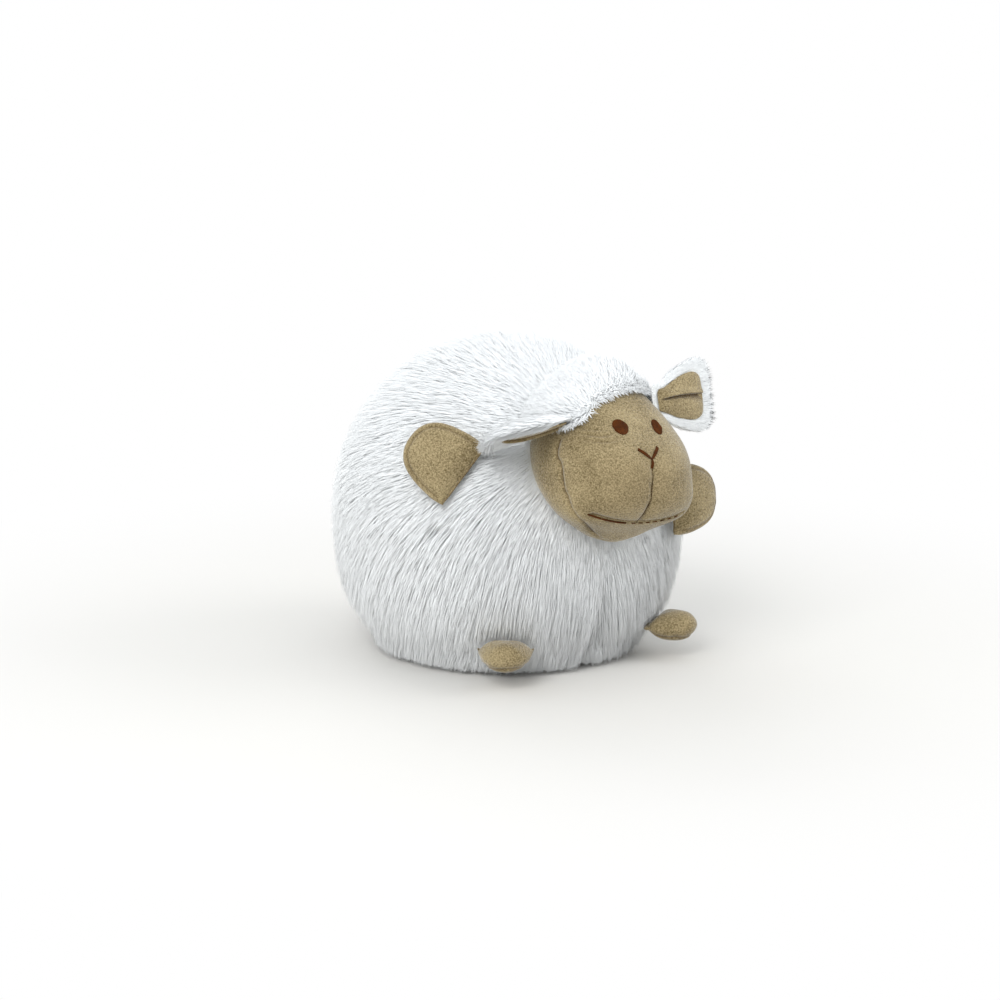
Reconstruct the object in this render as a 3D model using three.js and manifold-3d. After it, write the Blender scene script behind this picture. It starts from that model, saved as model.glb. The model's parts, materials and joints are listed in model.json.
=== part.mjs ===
import * as THREE from 'three';
import { mergeVertices } from 'three/addons/utils/BufferGeometryUtils.js';
import Module from 'manifold-3d';

const wasm = await Module();
wasm.setup();

// A ball-shaped plush sheep with a lamp pod in its underside. It stands on z = 0 and looks
// along -Y, and +X is its own left. Lengths are in millimetres and angles in degrees.

const clearance = {
  seat: 0.3, // between pieces that rest on each other
  running: 0.4, // around pieces that slide or turn
  overrun: 1, // how far a cut runs past the face that it opens
};

const body = {
  radius: 104, // plan radius at the widest level, to the middle of the pile
  crownHeight: 107, // widest level to the top
  restHeight: 84, // widest level above the surface that it stands on
  sagPower: 2.5, // how square the pressed underside is: 2 is an ellipse
  restMargin: 8, // flat ring of pile that it stands on, around the opening
  furDepth: 12, // cloth backing and pile together
  hemLift: 1, // pile edge above the standing surface
};

const head = {
  neckLength: 10.5, // middle of the head in front of the pile that it is sewn to
  neckHeight: 48, // middle of the head above the body's widest level
  height: 98,
  halfWidth: 45,
  halfDepth: 41, // the back is sunk in the body
  chinShare: 0.49, // share of the height that lies below the middle
  squareness: 2.6, // power of the level sections
  roll: 5.9, // degrees, its own left side lower
  skinThickness: 2.5, // velour and its backing
  capDepth: 8, // white pile over the crown
  capFrontHeight: 38, // level above the middle at which the pile starts on the forehead
  capSlope: 32, // degrees by which the pile's edge drops towards the back
};

// level sections of the head, each an oval that lies further forward towards the chin: share of
// height, of half width, of half depth by which its centre lies back, and of half depth
const headSectionShares = [
  [0, 0, -0.1, 0],
  [0.02, 0.19, -0.11, 0.05],
  [0.082, 0.57, -0.2, 0.28],
  [0.184, 0.907, -0.266, 0.57],
  [0.286, 0.995, -0.163, 0.822],
  [0.388, 0.993, -0.037, 0.963],
  [0.49, 0.973, 0.046, 1],
  [0.592, 0.933, 0.144, 0.944],
  [0.694, 0.827, 0.266, 0.824],
  [0.796, 0.651, 0.354, 0.676],
  [0.878, 0.467, 0.398, 0.512],
  [0.949, 0.278, 0.42, 0.332],
  [1, 0, 0.43, 0],
];

const face = {
  eyeSpread: 13, // each eye from the middle line
  eyeHeight: 20.7, // above the middle of the head
  eyeWidth: 10,
  eyeTall: 8,
  eyeTilt: 6,
  thread: 0.9, // radius of a raised line of stitching
  threadLift: 0.5, // its core above the velour
  noseHeight: 5,
  noseArmOut: 7,
  noseArmUp: 5.4,
  noseStem: 5,
  mouthHeight: -33.4,
  mouthHalfWidth: 32,
  mouthRise: 5, // the ends above the middle
};

const arm = {
  length: 41,
  width: 46,
  halfThickness: 6.5,
  squareness: 2.3,
  fullestShare: 0.55, // where along its length it is fullest
  seamRadius: 3, // rolled seam that it swings on
  seamShare: 0.8, // length of the rolled seam as a share of the width
};
const foot = {
  length: 32,
  width: 36,
  halfThickness: 9,
  squareness: 2.2,
  fullestShare: 0.55,
  seamRadius: 3,
  seamShare: 0.8,
};
// side 1 is its own left; azimuth from straight ahead, aim from the head's side round to up
const limbPlaces = {
  arm_left: { shape: arm, side: 1, azimuth: 30, height: 14, aim: 186, lift: 19, swing: [0, 60] },
  arm_right: { shape: arm, side: -1, azimuth: 49.5, height: 38, aim: 147, lift: 10, swing: [0, 75] },
  foot_left: { shape: foot, side: 1, azimuth: 36, height: -62, aim: 90, lift: 52, swing: [-30, 5] },
  foot_right: { shape: foot, side: -1, azimuth: 36, height: -62, aim: 90, lift: 52, swing: [-30, 5] },
};

const ear = {
  length: 47,
  width: 45,
  furHeight: 7,
  liningHeight: 2.2,
  liningLengthShare: 0.73,
  liningWidthShare: 0.62,
  liningStartShare: 0.11,
  seamRadius: 2.6,
  seamLength: 11,
  seatDepth: 4.4, // in front of the middle of the head
  swing: [-15, 20],
};
const earOutlineShares = [
  [0, 0.2],
  [0.18, 0.28],
  [0.45, 0.42],
  [0.75, 0.5],
  [0.93, 0.45],
  [1, 0.27],
];
// seat above the middle of the head, the way that each ear points and the way that its lining faces
const earPlaces = {
  ear_left: { side: 1, seatHeight: 32.5, along: [0.98, 0.16, 0], lining: [-0.1, -0.97, 0.15] },
  ear_right: { side: -1, seatHeight: 22, along: [-0.862, 0.443, -0.246], lining: [-0.1, -0.29, -0.95] },
};

const pod = {
  lipRadius: 51,
  lipHeight: 4,
  wallRadius: 48,
  wall: 2,
  floor: 2.4,
  wallTop: 19,
  domeShoulder: 30,
  domeHeight: 18, // shoulder to the top of the dome
  domeWall: 2,
  soundHoleRadius: 1.5,
  soundRingRadius: 8,
  soundHoles: 6,
  hemBand: 3.7,
  hemHeight: 5,
  pocketCloth: 1.2,
};
const cell = { radius: 5.25, length: 42.8, nubRadius: 1.9, nubLength: 1.4, count: 3, pitch: 11 };
const compartment = {
  length: 52,
  centreForward: 21,
  wall: 3.5,
  roof: 1.6,
  ledge: 1.5, // what the door seats under, all round
  doorThickness: 2,
  tabReach: 9, // the door's screw tab beyond its end
  tabWidth: 12,
  bossTop: 12,
};
const contact = { springRadius: 2.8, wire: 0.45, turns: 3.5, plate: 0.5, plateSize: 8 };
const screw = { headRadius: 2.8, headHeight: 1.2, shankRadius: 1.3, slotWidth: 0.8, slotDepth: 0.7 };
const housingScrew = { circleRadius: 42.5, angles: [8, 90, 172], bossRadius: 4, headSeat: 5, reach: 26 };
const board = { radius: 44, thickness: 1.6 };
const led = { count: 6, circleRadius: 31, radius: 2.5, height: 8, rimRadius: 2.9, rimHeight: 1 };
const speaker = {
  magnetRadius: 9,
  magnetHeight: 5,
  backRadius: 10,
  flangeRadius: 19,
  depth: 6.5,
  plate: 1,
  coneRadius: 16.5,
  cone: 0.8,
};
const button = {
  radius: 6,
  flangeRadius: 7.5,
  flange: 1.5,
  recess: 1,
  spacing: 20,
  behind: 22,
  travel: 1.2,
  stemRadius: 1.8,
  stem: 1,
};
const switchBoard = { length: 64, depth: 13, thickness: 1.6, tactSize: 6, tactHeight: 3.4, stem: 0.8 };
const power = {
  behind: 34,
  slotWidth: 4,
  knobLength: 5,
  travel: 4,
  flangeLength: 14,
  flangeWidth: 6.5,
  flange: 1.3,
  recess: 0.8,
  postWidth: 2,
  bodyWidth: 6,
  bodyHeight: 5,
};

const bodySegments = 36;
const podSegments = 32;
const roundSegments = 24;
const smallSegments = 12;
const holeSegments = 8;
// degrees between the places where a swinging piece is trimmed
const swingStep = 6;

const finishes = {
  fur: new THREE.MeshStandardMaterial({ color: '#f1f1ef', roughness: 1 }),
  velour: new THREE.MeshStandardMaterial({ color: '#b5a37d', roughness: 0.95 }),
  thread: new THREE.MeshStandardMaterial({ color: '#7a3b10', roughness: 0.6 }),
  filling: new THREE.MeshStandardMaterial({ color: '#f4f2ea', roughness: 1 }),
  cloth: new THREE.MeshStandardMaterial({ color: '#dcdcd8', roughness: 0.95 }),
  shell: new THREE.MeshStandardMaterial({ color: '#f2f0ea', roughness: 0.5 }),
  diffuser: new THREE.MeshStandardMaterial({ color: '#f7f5ee', roughness: 0.4 }),
  key: new THREE.MeshStandardMaterial({ color: '#9a9c9e', roughness: 0.6 }),
  steel: new THREE.MeshStandardMaterial({ color: '#c4c6c8', roughness: 0.3, metalness: 1 }),
  board: new THREE.MeshStandardMaterial({ color: '#1f5a37', roughness: 0.5 }),
  cell: new THREE.MeshStandardMaterial({ color: '#3c4046', roughness: 0.35, metalness: 0.6 }),
  led: new THREE.MeshStandardMaterial({ color: '#f3efcf', roughness: 0.15 }),
  magnet: new THREE.MeshStandardMaterial({ color: '#55585c', roughness: 0.4, metalness: 0.8 }),
  paper: new THREE.MeshStandardMaterial({ color: '#2a2a2c', roughness: 0.9 }),
  switchBlack: new THREE.MeshStandardMaterial({ color: '#202124', roughness: 0.55 }),
};

const radians = THREE.MathUtils.degToRad;
const wave = (value, power) => Math.sign(value) * Math.abs(value) ** power;

// Solids and cuts

function toSolid(geometry) {
  const bare = geometry.clone();
  bare.deleteAttribute('normal');
  bare.deleteAttribute('uv');
  const merged = mergeVertices(bare);
  const vertProperties = new Float32Array(merged.attributes.position.array);
  const triVerts = new Uint32Array(merged.index.array);
  return new wasm.Manifold(new wasm.Mesh({ numProp: 3, vertProperties, triVerts }));
}

function toGeometry(solid) {
  const mesh = solid.getMesh();
  const geometry = new THREE.BufferGeometry();
  geometry.setAttribute('position', new THREE.BufferAttribute(mesh.vertProperties, 3));
  geometry.setIndex(new THREE.BufferAttribute(mesh.triVerts, 1));
  return geometry;
}

function joined(first, ...others) {
  return toGeometry(others.reduce((solid, other) => solid.add(toSolid(other)), toSolid(first)));
}

function cut(first, ...tools) {
  return toGeometry(tools.reduce((solid, tool) => solid.subtract(toSolid(tool)), toSolid(first)));
}

function common(first, second) {
  return toGeometry(toSolid(first).intersect(toSolid(second)));
}

// Basic shapes

function turned(points, segments = roundSegments) {
  const profile = points.map(([radius, height]) => new THREE.Vector2(radius, height));
  return facingOut(new THREE.LatheGeometry(profile, segments).rotateX(Math.PI / 2));
}

function disc(radius, low, high, segments = roundSegments) {
  const height = high - low;
  const geometry = new THREE.CylinderGeometry(radius, radius, height, segments);
  return geometry.rotateX(Math.PI / 2).translate(0, 0, low + height / 2);
}

function block(length, width, low, high) {
  return new THREE.BoxGeometry(length, width, high - low).translate(0, 0, (low + high) / 2);
}

function signedVolume(geometry) {
  const { position } = geometry.attributes;
  const corners = [new THREE.Vector3(), new THREE.Vector3(), new THREE.Vector3()];
  let volume = 0;
  for (let i = 0; i < geometry.index.count; i += corners.length) {
    corners.forEach((corner, k) => corner.fromBufferAttribute(position, geometry.index.getX(i + k)));
    volume += corners[0].dot(corners[1].cross(corners[2]));
  }
  return volume;
}

function facingOut(geometry) {
  if (signedVolume(geometry) < 0) {
    const order = geometry.index.array;
    for (let i = 0; i < order.length; i += 3) [order[i], order[i + 1]] = [order[i + 1], order[i]];
  }
  return geometry;
}

// closed skin over a stack of rings; the first and last are single points
function lofted(rings) {
  const positions = rings.flat().flatMap((point) => point.toArray());
  const starts = rings.map((_, row) => rings.slice(0, row).reduce((sum, ring) => sum + ring.length, 0));
  const count = rings[1].length;
  const order = [];
  for (let row = 0; row + 1 < rings.length; row += 1) {
    for (let k = 0; k < count; k += 1) {
      const next = (k + 1) % count;
      const lower = rings[row].length > 1;
      const upper = rings[row + 1].length > 1;
      const a = starts[row] + (lower ? k : 0);
      const b = starts[row] + (lower ? next : 0);
      const c = starts[row + 1] + (upper ? next : 0);
      const d = starts[row + 1] + (upper ? k : 0);
      if (lower) order.push(a, b, c);
      if (upper) order.push(a, c, d);
    }
  }
  const geometry = new THREE.BufferGeometry();
  geometry.setAttribute('position', new THREE.Float32BufferAttribute(positions, 3));
  geometry.setIndex(order);
  return facingOut(geometry);
}

// a stuffed flat shape: a closed outline that swells on the faces that have a height
function swollen(outline, centre, heights, rows = 4) {
  const [below, above] = heights;
  const ring = (share, height) => {
    const rise = height * (1 - share * share) ** 0.75;
    return outline.map(([x, y]) => {
      return new THREE.Vector3(centre + (x - centre) * share, y * share, rise);
    });
  };
  const shares = Array.from({ length: rows - 1 }, (_, row) => (row + 1) / rows);
  return lofted([
    [new THREE.Vector3(centre, 0, -below)],
    ...shares.map((share) => ring(share, -below)),
    ring(1, 0),
    ...shares.map((share) => ring(share, above)).reverse(),
    [new THREE.Vector3(centre, 0, above)],
  ]);
}

function piece(name, geometry, finish) {
  const shape = geometry.clone();
  shape.deleteAttribute('uv');
  shape.computeVertexNormals();
  const mesh = new THREE.Mesh(shape, finish);
  mesh.name = name;
  return mesh;
}

// The rounded body

const hemRadius = pod.wallRadius + clearance.seat + pod.hemBand;
const openingRadius = hemRadius + clearance.seat;

// depth that the underside would have if it were not pressed flat around the opening
function sagDepth() {
  const share = (openingRadius + body.restMargin) / body.radius;
  const pressed = (1 - share ** body.sagPower) ** (1 / body.sagPower);
  return (body.restHeight - body.hemLift) / pressed;
}

function bodyRadiusAt(height, inset = 0) {
  const depth = (height < 0 ? sagDepth() : body.crownHeight) - inset;
  const power = height < 0 ? body.sagPower : 2;
  return (body.radius - inset) * (1 - (Math.abs(height) / depth) ** power) ** (1 / power);
}

// [radius, height above the floor] from the pressed underside up to the crown
function bodyProfile(inset, lowest, rows) {
  const sag = sagDepth() - inset;
  const bend = 2 / body.sagPower;
  const start = Math.asin(((body.restHeight - lowest) / sag) ** (1 / bend));
  const points = [];
  for (let row = 0; row < rows; row += 1) {
    const angle = start * (1 - row / rows);
    const radius = (body.radius - inset) * Math.cos(angle) ** bend;
    points.push([radius, body.restHeight - sag * Math.sin(angle) ** bend]);
  }
  for (let row = 0; row < rows; row += 1) {
    const angle = (Math.PI / 2) * (row / rows);
    const radius = (body.radius - inset) * Math.cos(angle);
    points.push([radius, body.restHeight + (body.crownHeight - inset) * Math.sin(angle)]);
  }
  points.push([0, body.restHeight + body.crownHeight - inset]);
  return points;
}

function bodyBlank(inset) {
  const rows = 7;
  return turned([[0, body.hemLift], ...bodyProfile(inset, body.hemLift, rows)], bodySegments);
}

function furShell() {
  const outerRows = 7;
  const innerRows = 5;
  const inner = bodyProfile(body.furDepth, body.hemLift + body.furDepth, innerRows);
  const outer = bodyProfile(0, body.hemLift, outerRows);
  const floorInside = [openingRadius, body.hemLift + body.furDepth];
  const profile = [...inner.reverse(), floorInside, [openingRadius, body.hemLift], ...outer];
  return turned(profile, bodySegments);
}

function domeProfile(offset, lowest) {
  const rows = 5;
  const points = [[pod.wallRadius + offset, lowest]];
  for (let row = 0; row < rows; row += 1) {
    const angle = (Math.PI / 2) * (row / rows);
    const radius = (pod.wallRadius + offset) * Math.cos(angle);
    points.push([radius, pod.domeShoulder + (pod.domeHeight + offset) * Math.sin(angle)]);
  }
  points.push([0, pod.domeShoulder + pod.domeHeight + offset]);
  return points;
}

const hemTop = pod.lipHeight + clearance.seat + pod.hemHeight;

function bodyStuffing() {
  const rows = 5;
  const inset = body.furDepth + clearance.seat;
  const low = body.hemLift + inset;
  const inside = 2 * clearance.seat + pod.pocketCloth;
  const profile = [...domeProfile(inside, low).reverse(), ...bodyProfile(inset, low, rows)];
  return turned(profile, bodySegments);
}

function podPocket() {
  const low = hemTop + clearance.seat;
  const inner = domeProfile(clearance.seat, low).reverse();
  return turned([...inner, ...domeProfile(clearance.seat + pod.pocketCloth, low)], podSegments);
}

function ringBetween(inner, outer, low, high, segments = roundSegments) {
  const corners = [[inner, low], [outer, low], [outer, high], [inner, high], [inner, low]];
  return turned(corners, segments);
}

// The head, in its own frame before it is rolled and set on the body

function headSectionAt(height) {
  const share = height / head.height + head.chinShare;
  const rows = headSectionShares;
  const row = Math.max(1, rows.findIndex(([level]) => level >= share));
  const [low, high] = [rows[row - 1], rows[row]];
  const step = (share - low[0]) / (high[0] - low[0]);
  return {
    halfWidth: head.halfWidth * THREE.MathUtils.lerp(low[1], high[1], step),
    centre: head.halfDepth * THREE.MathUtils.lerp(low[2], high[2], step),
    halfDepth: head.halfDepth * THREE.MathUtils.lerp(low[3], high[3], step),
  };
}

function headBlank(inflate) {
  const bend = 2 / head.squareness;
  const rings = headSectionShares.map(([level, width, back, depth]) => {
    const end = width === 0;
    const stretch = head.height + 2 * inflate;
    const height = level * stretch - inflate - head.chinShare * head.height;
    const centre = back * head.halfDepth;
    if (end) return [new THREE.Vector3(0, centre, height)];
    return Array.from({ length: roundSegments }, (_, k) => {
      const angle = (2 * Math.PI * k) / roundSegments;
      const across = (width * head.halfWidth + inflate) * wave(Math.cos(angle), bend);
      const reach = (depth * head.halfDepth + inflate) * wave(Math.sin(angle), bend);
      return new THREE.Vector3(across, centre + reach, height);
    });
  });
  return lofted(rings);
}

// a point on the velour in front, from its place across and above the middle
function facePoint(across, height, lift = 0) {
  const { halfWidth, centre, halfDepth } = headSectionAt(height);
  const share = Math.abs(across / halfWidth) ** head.squareness;
  const depth = halfDepth * (1 - share) ** (1 / head.squareness);
  return new THREE.Vector3(across, centre - depth - lift, height);
}

// half width of the head in front of its middle
function headSideAt(height, forward) {
  const { halfWidth, centre, halfDepth } = headSectionAt(height);
  const share = Math.abs((forward + centre) / halfDepth) ** head.squareness;
  return halfWidth * (1 - share) ** (1 / head.squareness);
}

const headForward = bodyRadiusAt(head.neckHeight) + head.neckLength;
const headPlace = new THREE.Matrix4()
  .makeTranslation(0, -headForward, body.restHeight + head.neckHeight)
  .multiply(new THREE.Matrix4().makeRotationY(radians(head.roll)));

const inHeadFrame = (geometry) => geometry.applyMatrix4(headPlace.clone().invert());

// pile over the crown starts above this slanted plane
function furCap(room = 0) {
  const size = head.height + 2 * head.halfDepth;
  const edge = facePoint(0, head.capFrontHeight, head.capDepth);
  const region = block(size * 2, size * 2, -room, size).translate(0, size - room, 0);
  region.rotateX(-radians(head.capSlope)).translate(edge.x, edge.y, edge.z);
  return common(headBlank(head.capDepth + room), region);
}

function eyePatch(side) {
  const rows = 3;
  const outline = Array.from({ length: smallSegments }, (_, k) => {
    const angle = (2 * Math.PI * k) / smallSegments;
    return [(face.eyeWidth / 2) * Math.cos(angle), (face.eyeTall / 2) * Math.sin(angle)];
  });
  const spot = facePoint(side * face.eyeSpread, face.eyeHeight);
  const beside = facePoint(side * (face.eyeSpread + face.eyeWidth / 2), face.eyeHeight);
  const above = facePoint(side * face.eyeSpread, face.eyeHeight + face.eyeTall / 2);
  const acrossFace = beside.sub(spot).multiplyScalar(side).normalize();
  const outwards = acrossFace.clone().cross(above.sub(spot)).normalize();
  const up = outwards.clone().cross(acrossFace);
  const thickness = face.thread + face.threadLift;
  const pad = swollen(outline, 0, [thickness, thickness], rows).rotateZ(-side * radians(face.eyeTilt));
  pad.applyMatrix4(new THREE.Matrix4().makeBasis(acrossFace, up, outwards).setPosition(spot));
  return pad;
}

function stitchLine(points, steps) {
  const sides = 6;
  const outline = new THREE.Shape();
  for (let k = 0; k < sides; k += 1) {
    const angle = (2 * Math.PI * k) / sides;
    const corner = [face.thread * Math.cos(angle), face.thread * Math.sin(angle)];
    if (k === 0) outline.moveTo(...corner);
    else outline.lineTo(...corner);
  }
  outline.closePath();
  const extrudePath = new THREE.CatmullRomCurve3(points);
  return new THREE.ExtrudeGeometry(outline, { steps, bevelEnabled: false, extrudePath });
}

function noseStitch() {
  const lift = face.threadLift;
  const joint = facePoint(0, face.noseHeight, lift);
  const armEnds = [-1, 1].map((side) => {
    return facePoint(side * face.noseArmOut, face.noseHeight + face.noseArmUp, lift);
  });
  const stemEnd = facePoint(0, face.noseHeight - face.noseStem, lift);
  const strokes = [...armEnds, stemEnd].map((end) => {
    const start = joint.clone().lerp(end, -face.thread / joint.distanceTo(end) / 2);
    return stitchLine([start, joint.clone().lerp(end, 0.5), end], 2);
  });
  return joined(...strokes);
}

function mouthStitch() {
  const steps = 10;
  const points = Array.from({ length: steps + 1 }, (_, k) => {
    const share = (2 * k) / steps - 1;
    const height = face.mouthHeight + face.mouthRise * share * share;
    return facePoint(share * face.mouthHalfWidth, height, face.threadLift);
  });
  return stitchLine(points, steps);
}

function makeHead() {
  const group = new THREE.Group();
  const seat = clearance.seat;
  const bodyCutter = inHeadFrame(bodyBlank(-seat));
  const blank = headBlank(0);
  const hollow = headBlank(-head.skinThickness);
  const stuffing = headBlank(-head.skinThickness - seat);
  const cover = headBlank(seat);
  group.add(
    piece('head_face', cut(blank, bodyCutter, hollow), finishes.velour),
    piece('head_stuffing', cut(stuffing, bodyCutter), finishes.filling),
    piece('head_fur_cap', cut(furCap(), cover, bodyCutter), finishes.fur),
    piece('eye_left', cut(eyePatch(1), cover), finishes.thread),
    piece('eye_right', cut(eyePatch(-1), cover), finishes.thread),
    piece('nose_stitch', cut(noseStitch(), cover), finishes.thread),
    piece('mouth_stitch', cut(mouthStitch(), cover), finishes.thread),
  );
  group.applyMatrix4(headPlace);
  return group;
}

// Limbs and ears. Each has its own frame: x out along it, y along the seam that it swings on,
// z the face turned away from the body. A positive swing lifts it away, about -y.

function hingeFrame(point, along, outwards) {
  const seam = outwards.clone().cross(along).normalize();
  const out = along.clone().normalize();
  return new THREE.Matrix4().makeBasis(out, seam, out.clone().cross(seam)).setPosition(point);
}

function limbFrame({ shape, side, azimuth, height, aim, lift }) {
  const turn = radians(azimuth);
  const outPlan = new THREE.Vector3(side * Math.sin(turn), -Math.cos(turn), 0);
  const radius = bodyRadiusAt(height);
  const step = shape.seamRadius;
  const slope = (bodyRadiusAt(height - step) - bodyRadiusAt(height + step)) / (2 * step);
  const normal = outPlan.clone().setZ(slope).normalize();
  const towardsHead = new THREE.Vector3(-side * Math.cos(turn), -Math.sin(turn), 0);
  const up = new THREE.Vector3(0, 0, 1).addScaledVector(normal, -normal.z).normalize();
  const along = towardsHead
    .multiplyScalar(Math.cos(radians(aim)))
    .addScaledVector(up, Math.sin(radians(aim)))
    .multiplyScalar(Math.cos(radians(lift)))
    .addScaledVector(normal, Math.sin(radians(lift)));
  const point = outPlan.multiplyScalar(radius).setZ(body.restHeight + height);
  point.addScaledVector(normal, shape.seamRadius + clearance.seat);
  return hingeFrame(point, along, normal);
}

// trims a swinging piece where the larger one would be, at rest and all through its swing
function clearOf(shape, cutter, frame, swing) {
  const local = cutter.clone().applyMatrix4(frame.clone().invert());
  const [low, high] = swing;
  const steps = Math.ceil((high - low) / swingStep);
  const angles = Array.from({ length: steps + 1 }, (_, k) => low + ((high - low) * k) / steps);
  const tools = [0, ...angles].map((angle) => local.clone().rotateY(radians(angle)));
  return cut(shape, ...tools);
}

function seamRoll(radius, length) {
  const sides = 10;
  return new THREE.CylinderGeometry(radius, radius, length, sides);
}

function limb(name, place) {
  const { shape } = place;
  const steps = 14;
  const bend = 2 / shape.squareness;
  const outline = Array.from({ length: steps + 1 }, (_, k) => {
    const angle = Math.PI * (k / steps - 1 / 2);
    const out = shape.length * Math.max(0, Math.cos(angle)) ** bend;
    return [out, (shape.width / 2) * wave(Math.sin(angle), bend)];
  });
  const centre = shape.length * shape.fullestShare;
  const pad = swollen(outline, centre, [shape.halfThickness, shape.halfThickness]);
  const roll = seamRoll(shape.seamRadius, shape.width * shape.seamShare);
  const frame = limbFrame(place);
  const trimmed = clearOf(joined(pad, roll), bodyBlank(-clearance.seat), frame, place.swing);
  const mesh = piece(name, trimmed, finishes.velour);
  mesh.applyMatrix4(frame);
  return mesh;
}

function earOutline(startShare, lengthShare, widthShare) {
  const side = earOutlineShares.map(([along, half]) => {
    return [(startShare + along * lengthShare) * ear.length, half * widthShare * ear.width];
  });
  const points = [...side, ...side.map(([x, y]) => [x, -y]).reverse()];
  const curve = new THREE.CatmullRomCurve3(
    points.map(([x, y]) => new THREE.Vector3(x, y, 0)),
    true,
    'catmullrom',
    0.4,
  );
  return curve.getSpacedPoints(24).slice(0, -1).map(({ x, y }) => [x, y]);
}

function makeEar(name, { side, seatHeight, along, lining }) {
  const group = new THREE.Group();
  const out = headSideAt(seatHeight, ear.seatDepth) + ear.seamRadius + clearance.seat;
  const seat = new THREE.Vector3(side * out, -ear.seatDepth, seatHeight);
  const point = seat.applyMatrix4(headPlace);
  const backwards = new THREE.Vector3(...lining).negate();
  const frame = hingeFrame(point, new THREE.Vector3(...along), backwards);
  const outer = earOutline(0, 1, 1);
  const inner = earOutline(ear.liningStartShare, ear.liningLengthShare, ear.liningWidthShare);
  const back = swollen(outer, ear.length / 2, [0, ear.furHeight], 3);
  const front = swollen(inner, ear.length / 2, [ear.liningHeight, 0], 2).translate(0, 0, -clearance.seat);
  const roll = seamRoll(ear.seamRadius, ear.seamLength).translate(0, 0, ear.seamRadius);
  const cutter = joined(headBlank(clearance.seat), furCap(clearance.seat)).applyMatrix4(headPlace);
  const shell = clearOf(joined(back, roll), cutter, frame, ear.swing);
  group.add(
    piece(`${name}_fur`, shell, finishes.fur),
    piece(`${name}_lining`, clearOf(front, cutter, frame, ear.swing), finishes.velour),
  );
  group.applyMatrix4(frame);
  return group;
}

// The lamp pod, built upwards from its flat underside

const cellHeight = pod.floor + clearance.seat + cell.radius;
const roofInside = cellHeight + cell.radius + clearance.running;
const compartmentWidth = cell.count * cell.pitch + clearance.running;
const doorLength = compartment.length + 2 * compartment.ledge;
const doorWidth = compartmentWidth + 2 * compartment.ledge;
const boardLow = pod.wallTop + clearance.seat;
const boardTop = boardLow + board.thickness;
const doorScrewPlace = [(doorLength + compartment.tabReach) / 2, -compartment.centreForward];
const buttonFlangeLow = pod.floor + clearance.seat;
const buttonTop = buttonFlangeLow + button.flange + button.stem;
const tactLow = buttonTop + button.travel + clearance.seat + switchBoard.stem;
const switchBoardLow = tactLow + switchBoard.tactHeight + clearance.seat;
const powerBodyLow = buttonFlangeLow + power.flange + clearance.running;
const powerBodyLength = power.flangeLength + power.travel + 2 * (clearance.running + power.postWidth);

const housingScrewPlaces = housingScrew.angles.map((angle) => {
  const turn = radians(angle);
  return [housingScrew.circleRadius * Math.cos(turn), housingScrew.circleRadius * Math.sin(turn)];
});

function baseHousing() {
  const { overrun, running } = clearance;
  const inside = pod.wallRadius - pod.wall;
  let shape = turned([
    [0, 0],
    [pod.lipRadius, 0],
    [pod.lipRadius, pod.lipHeight],
    [pod.wallRadius, pod.lipHeight],
    [pod.wallRadius, pod.wallTop],
    [inside, pod.wallTop],
    [inside, pod.floor],
    [0, pod.floor],
  ], podSegments);
  const outerLength = compartment.length + 2 * compartment.wall;
  const outerWidth = compartmentWidth + 2 * compartment.wall;
  const roofTop = roofInside + compartment.roof;
  const box = block(outerLength, outerWidth, pod.floor / 2, roofTop);
  box.translate(0, -compartment.centreForward, 0);
  const bosses = housingScrewPlaces.map(([x, y]) => {
    return disc(housingScrew.bossRadius, pod.floor / 2, pod.wallTop, smallSegments).translate(x, y, 0);
  });
  const postHalf = switchBoard.length / 2 - button.stemRadius;
  const posts = [-1, 1].map((side) => {
    const post = disc(button.stemRadius, pod.floor / 2, switchBoardLow - clearance.seat, smallSegments);
    return post.translate(side * postHalf, button.behind, 0);
  });
  const powerPosts = [-1, 1].map((side) => {
    const post = block(power.postWidth, power.bodyWidth, pod.floor / 2, powerBodyLow - clearance.seat);
    return post.translate(side * (powerBodyLength - power.postWidth) / 2, power.behind, 0);
  });
  shape = joined(shape, common(box, disc(pod.wallRadius - pod.wall / 2, 0, pod.wallTop, podSegments)));
  const doorBoss = disc(housingScrew.bossRadius, pod.floor / 2, compartment.bossTop, smallSegments);
  shape = joined(shape, ...bosses, ...posts, ...powerPosts, doorBoss.translate(...doorScrewPlace, 0));
  const cavity = block(compartment.length, compartmentWidth, -overrun, roofInside);
  const recess = doorOutline(running, -overrun, doorSeat());
  const boreTop = compartment.bossTop + overrun;
  const screwBore = disc(screw.shankRadius + running, -overrun, boreTop, smallSegments);
  const buttonHoles = [-1, 0, 1].map((k) => {
    const hole = disc(button.radius + running, -overrun, pod.floor + overrun);
    return hole.translate(k * button.spacing, button.behind, 0);
  });
  const slotLength = power.knobLength + power.travel + 2 * running;
  const slot = block(slotLength, power.slotWidth + 2 * running, -overrun, pod.floor + overrun);
  const screwHoles = housingScrewPlaces.flatMap(([x, y]) => [
    disc(screw.headRadius + running, -overrun, housingScrew.headSeat, smallSegments).translate(x, y, 0),
    disc(screw.shankRadius + running, 0, pod.wallTop + overrun, holeSegments).translate(x, y, 0),
  ]);
  const shift = -compartment.centreForward;
  return cut(
    shape,
    cavity.translate(0, shift, 0),
    recess,
    screwBore.translate(...doorScrewPlace, 0),
    ...buttonHoles,
    slot.translate(0, power.behind, 0),
    ...screwHoles,
  );
}

function doorSeat() {
  return clearance.seat + compartment.doorThickness + clearance.seat;
}

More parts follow.
